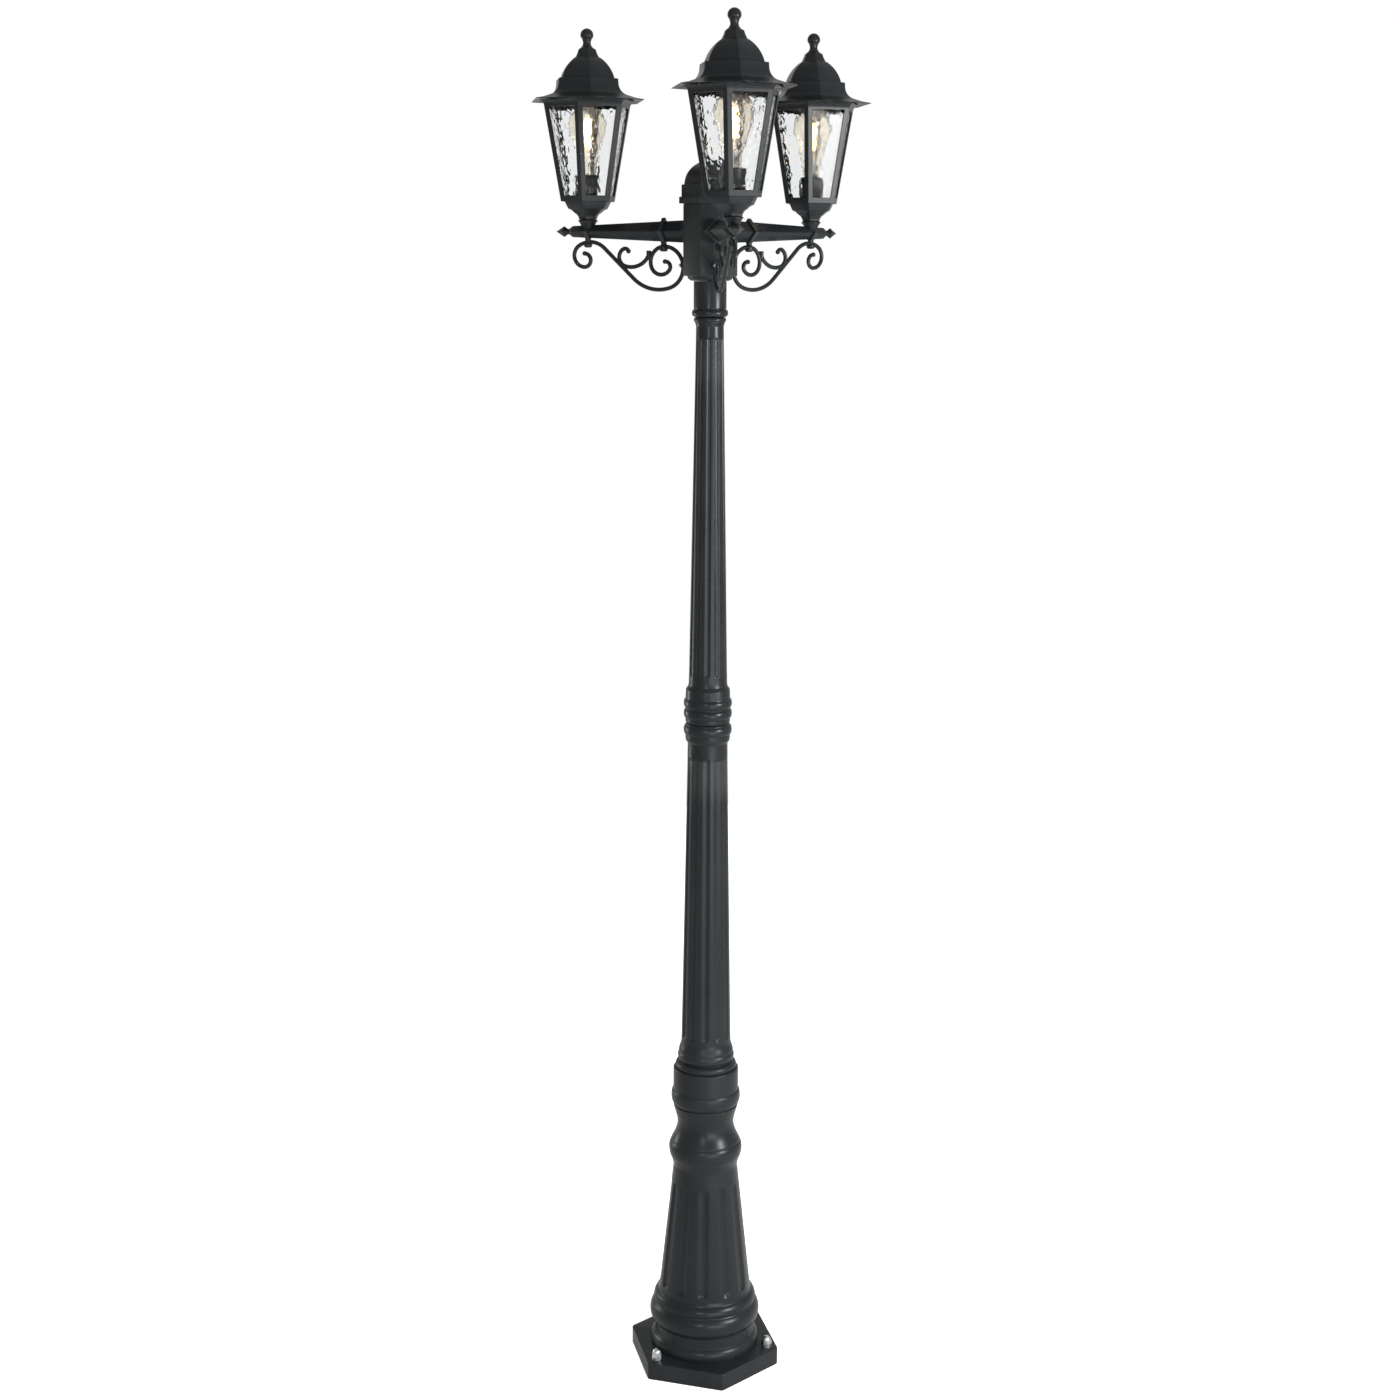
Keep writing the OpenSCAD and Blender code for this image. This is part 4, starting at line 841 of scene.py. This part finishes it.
def frame_ring(radius, z, inner=False):
    """Three points to a side: the corner, and the two edges of the window."""
    wall = FRAME_WALL / cos(frame_lean)
    corner_r = radius - wall / COS30 if inner else radius
    ring = []
    for k in range(6):
        a, b = radians(60 * k), radians(60 * k + 60)
        start, stop = (radius * cos(a), radius * sin(a)), (radius * cos(b), radius * sin(b))
        side = hypot(stop[0] - start[0], stop[1] - start[1])
        inward = (-cos((a + b) / 2) * wall, -sin((a + b) / 2) * wall) if inner else (0, 0)
        ring.append((corner_r * cos(a), corner_r * sin(a), z))
        for t in (STILE / side, 1 - STILE / side):
            ring.append((start[0] + (stop[0] - start[0]) * t + inward[0],
                start[1] + (stop[1] - start[1]) * t + inward[1], z))
    return ring


def frame_part():
    rail_r = frame_r(RAIL_Z)
    lip = [(rail_r, RAIL_Z), (rail_r + 1.2, RAIL_Z + 3), (rail_r + 3.6, RAIL_Z + 5.4),
        (rail_r + 7.7, RAIL_Z + 7), (rail_r + 7.7, frame_h)]
    outer = [frame_ring(frame_r(z), z) for z in (0, SILL_H, WINDOW_TOP)]
    outer += [frame_ring(r, z) for r, z in lip]
    inner = [frame_ring(frame_r(z), z, True) for z in (frame_h, WINDOW_TOP, SILL_H, FLOOR_T)]
    points, faces = skin(outer + inner)
    count, kept = len(outer[0]), []
    windows = {1: 2, len(outer) + 1: len(outer) + 2}
    for face in faces:
        row = face[0] // count
        window = row in windows and len(face) == 4 and face[0] % count % 3 == 1
        if not window:
            kept.append(face)
    low_in, high_in = len(outer) + 2, len(outer) + 1
    for k in range(6):
        a, b = 3 * k + 1, 3 * k + 2
        o_low, o_high, i_low, i_high = count, 2 * count, low_in * count, high_in * count
        kept += [(o_low + a, o_low + b, i_low + b, i_low + a),
            (o_high + b, o_high + a, i_high + a, i_high + b),
            (o_low + b, o_high + b, i_high + b, i_low + b),
            (o_high + a, o_low + a, i_low + a, i_high + a)]
    lug = block((65.4, -6, frame_h - 0.5), (68.4, 6, frame_h + lug_h))
    return joined((points, kept), *[moved(lug, 60 * k + 30) for k in (0, 2, 4)])


frame_shape = frame_part()
for side, turn in ARM_TURNS.items():
    glazed = placed("Glazed frame " + side, frame_shape, lantern_place(turn, frame_foot_z, FRAME_TURN),
        sharp=30, rounding=0.7)
    dress(glazed, "post", "castings", paint, "frame_" + side)
print("frame faces:", len(frame_shape[1]))

# %% [markdown]
# The roof is a hexagonal shell: flat eaves that sweep up to a step, a dome and a small stepped
# tier under the ball finial. It is one profile, down the inside and up the outside.

# %% Roofs and finials
roof_h = finial_low[2] + 7.6 - roof_z
EAVE_R = 105.5
DOME_CENTRE, SWEEP_CENTRE = (-7.4, 18), (79.7, 29)
roof_inside = ([(0.1, 69)] + arc(DOME_CENTRE, 58.5, 58.5, 57.5, 22, 10) + [(47.6, 34), (55.3, 32.6)]
    + arc(SWEEP_CENTRE, 24, 24, 185, 255, 10) + [(89, 1.9), (EAVE_R - 0.1, -0.6)])
roof_outside = ([(EAVE_R - 0.1, 0.5), (89, 3.5)] + arc(SWEEP_CENTRE, 21.5, 21.5, 255, 185, 10)
    + [(57.8, 35), (50.5, 36.3)] + arc(DOME_CENTRE, 61, 61, 20.5, 57.5, 12)
    + [(24.4, 70), (22.4, 70.6), (20.3, 74), (18.2, 78), (16.8, 82), (16.4, roof_h), (0.1, roof_h)])
roof_profile = roof_inside + roof_outside
seat = loft([(60, 4), (68, 4), (68, 5.6), (60, 8.4)], circle, closed=True)
tabs = [moved(block((60, -9, -6), (62, 9, 5)), FRAME_TURN + 120 * k + 90) for k in range(3)]
roof_shape = joined(loft(softened(roof_profile, 0.9), lambda r: hexagon(r, 1.2)), seat, *tabs)
finial_profile = ([(3, -7), (4, -7), (4, 0.1), (13, 0.1), (12.4, 1.2), (10, 3), (8, 5.5), (6.8, 8),
    (6.5, 10.5), (7.2, 14), (8.6, 17.5)] + arc((0, 23), 11, 11, -18.8, 89, 18))
finial_shape = loft(softened(finial_profile, 0.5), circle)
for side, turn in ARM_TURNS.items():
    roof = placed("Roof " + side, roof_shape, lantern_place(turn, roof_z), sharp=26)
    dress(roof, "lid_of_" + side + "_lantern", "castings", paint, "roof_" + side)
    finial = placed("Finial " + side, finial_shape, lantern_place(turn, roof_z + roof_h), sharp=50)
    dress(finial, "lid_of_" + side + "_lantern", "castings", paint, "finial_" + side)
print("roof faces:", len(roof_shape[1]), "roof height", round(roof_h, 1))

# %% [markdown]
# ## Lamps
#
# The bulbs are pear-shaped and clear, with a long filament that runs up and down in a ring of
# eight strands. The envelope is two skins a millimetre apart, because a solid glass bulb would
# act as a lens and turn everything behind it upside down.

# %% Bulbs and filaments
bulb_low = span("bulb_glass_front")[0][2]
bulb_h = span("bulb_glass_front")[1][2] - bulb_low


def envelope(inset):
    """The bulb's outline from its cap to its top, drawn in by a distance."""
    neck_and_flare = [(13, 0.2), (13.4, 10), (15.6, 25), (20.2, 42), (26, 60), (30.4, 72)]
    return ([(r - inset, z) for r, z in neck_and_flare]
        + arc((0, bulb_h - 33), 32 - inset, 33 - inset, 0, 89, 16))


bulb_shape = loft(envelope(0) + envelope(1)[::-1], circle)


def filament_part(radius=5.5, low=46, high=92, strands=8):
    """Points of one wire that runs up and down in a ring."""
    wire = []
    for k in range(strands):
        a = 2 * pi * k / strands
        ends = (low, high) if k % 2 == 0 else (high, low)
        rise = (ends[1] - ends[0]) / 12
        wire += [(radius * cos(a), radius * sin(a), ends[0] + rise * i) for i in range(13)]
    return wire


def wire_piece(name, points, radius, matrix):
    """Round wire through points in millimetres: drawn as a curve, kept as a mesh."""
    curve = bpy.data.curves.new(name, "CURVE")
    curve.dimensions = "3D"
    line = curve.splines.new("POLY")
    line.points.add(len(points) - 1)
    for point, (x, y, z) in zip(line.points, points):
        point.co = (x * MM, y * MM, z * MM, 1)
    curve.bevel_depth = radius * MM
    curve.bevel_resolution = 2
    drawn = bpy.data.objects.new(name + " curve", curve)
    mesh = bpy.data.meshes.new_from_object(drawn)
    mesh.transform(matrix)
    bpy.data.objects.remove(drawn)
    piece = bpy.data.objects.new(name, mesh)
    scene.collection.objects.link(piece)
    return piece


filament_wire = filament_part()
for side, turn in ARM_TURNS.items():
    bulb = placed("Bulb " + side, bulb_shape, lantern_place(turn, bulb_low), sharp=60)
    dress(bulb, "lamp_" + side, "bulb_glass", bulb_glass, "bulb_glass_" + side)
    wire = wire_piece("Filament_" + side, filament_wire, 0.6, lantern_place(turn, bulb_low))
    dress(wire, "lamp_" + side, "bulb_cap", filament)
print("bulb height", round(bulb_h, 1))

# %% [markdown]
# ## Camera, floor and light
#
# The camera stands in front of the post, a little to the left of the front arm, at about two
# metres, looking down by twelve degrees. These values come from fitting a camera to the ball
# tops, arm tips, glazing bars and foot of the photographed post.

# %% Camera
CAMERA_PLACE = (-559.6, -3543.1, 2011.4)
CAMERA_HEADING = (0.1522, 0.9884)
CAMERA_DIP = radians(11.856)
CAMERA_ROLL = radians(0.277)
FOCAL_PIXELS = 2077.4
IMAGE_PIXELS = 1400
SENSOR = 36.0

camera = bpy.data.objects.new("Camera", bpy.data.cameras.new("Camera"))
scene.collection.objects.link(camera)
camera.data.sensor_width = SENSOR
camera.data.sensor_fit = "HORIZONTAL"
camera.data.lens = FOCAL_PIXELS / IMAGE_PIXELS * SENSOR
camera.data.clip_start = 0.05
camera.data.clip_end = 100.0
flat = cos(CAMERA_DIP)
ahead = Vector((CAMERA_HEADING[0] * flat, CAMERA_HEADING[1] * flat, -sin(CAMERA_DIP))).normalized()
level = Vector((CAMERA_HEADING[1], -CAMERA_HEADING[0], 0)).normalized()
up = level.cross(ahead)
right = level * cos(CAMERA_ROLL) + up * sin(CAMERA_ROLL)
up = up * cos(CAMERA_ROLL) - level * sin(CAMERA_ROLL)
aim = Matrix((right, up, -ahead)).transposed().to_4x4()
camera.matrix_world = Matrix.Translation(Vector(CAMERA_PLACE) * MM) @ aim
scene.camera = camera
print(f"lens {camera.data.lens:.2f} mm")

# %% [markdown]
# The studio is a white floor that fades into a white surround. Light Path lets the camera and
# the glass see pure white, while the light that falls on the post and mirrors in its paint
# stays plain. So the paint keeps its depth out to its edges.


# %% Floor and surround
def seen_directly(tree):
    """A mask that is 1 where the camera looks, also through glass, and 0 for all other light."""
    path = node(tree, "ShaderNodeLightPath")
    either = node(tree, "ShaderNodeMath", operation="MAXIMUM")
    tree.links.new(path.outputs["Is Camera Ray"], either.inputs[0])
    tree.links.new(path.outputs["Is Transmission Ray"], either.inputs[1])
    return either.outputs[0]


world = bpy.data.worlds.new("White surround")
scene.world = world
world.use_nodes = True
backdrop = world.node_tree.nodes["Background"]
brightness = node(world.node_tree, "ShaderNodeMapRange", To_Min=0.6, To_Max=1.0)
world.node_tree.links.new(seen_directly(world.node_tree), brightness.inputs["Value"])
world.node_tree.links.new(brightness.outputs["Result"], backdrop.inputs["Strength"])
backdrop.inputs["Color"].default_value = (1, 1, 1, 1)

FLOOR_HALF = 4000
floor = mesh_piece("Studio floor", [(-FLOOR_HALF, -FLOOR_HALF, 0), (FLOOR_HALF, -FLOOR_HALF, 0),
    (FLOOR_HALF, FLOOR_HALF, 0), (-FLOOR_HALF, FLOOR_HALF, 0)], [(0, 1, 2, 3)])
floor_material, floor_tree, floor_shader = new_finish("White studio floor")
floor_shader.inputs["Base Color"].default_value = (0.9, 0.9, 0.9, 1)
floor_shader.inputs["Roughness"].default_value = 0.9
floor_shader.inputs["Specular IOR Level"].default_value = 0.1
floor_place = node(floor_tree, "ShaderNodeTexCoord")
from_post = node(floor_tree, "ShaderNodeVectorMath", operation="LENGTH")
floor_tree.links.new(floor_place.outputs["Object"], from_post.inputs[0])
far = node(floor_tree, "ShaderNodeMapRange", From_Min=0.6, From_Max=3.2, interpolation_type="SMOOTHSTEP")
floor_tree.links.new(from_post.outputs["Value"], far.inputs["Value"])
lift = blend_colour(floor_tree, far.outputs["Result"], (0.6, 0.6, 0.6), (1, 1, 1))
floor_tree.links.new(blend_colour(floor_tree, seen_directly(floor_tree), (0, 0, 0), lift),
    floor_shader.inputs["Emission Color"])
floor_shader.inputs["Emission Strength"].default_value = 1.0
floor.data.materials.append(floor_material)


# %% Lamps
def softbox(name, place, size, watts, aim):
    """A rectangular area light that faces the post; place and aim in millimetres."""
    light = bpy.data.lights.new(name, "AREA")
    light.shape = "RECTANGLE"
    light.size, light.size_y = size[0] * MM, size[1] * MM
    light.energy = watts
    lamp = bpy.data.objects.new(name, light)
    scene.collection.objects.link(lamp)
    lamp.location = Vector(place) * MM
    lamp.rotation_euler = (Vector(aim) - Vector(place)).to_track_quat("-Z", "Y").to_euler()
    return lamp


def around(angle, distance, height):
    """A place seen from the post: angle in degrees to the right of the camera's direction."""
    heading = atan2(CAMERA_PLACE[1], CAMERA_PLACE[0]) + radians(angle)
    return (distance * cos(heading), distance * sin(heading), height)


softbox("Key softbox", around(56, 3200, 1750), (950, 800), 120, (0, 0, 1300))
softbox("Front softbox", around(-9, 4200, 1750), (600, 800), 28, (0, 0, 1100))
softbox("Low fill", around(25, 3800, 700), (2200, 1000), 50, (0, 0, 700))
softbox("Rim softbox", around(-118, 3200, 1000), (500, 1300), 20, (0, 0, 1000))
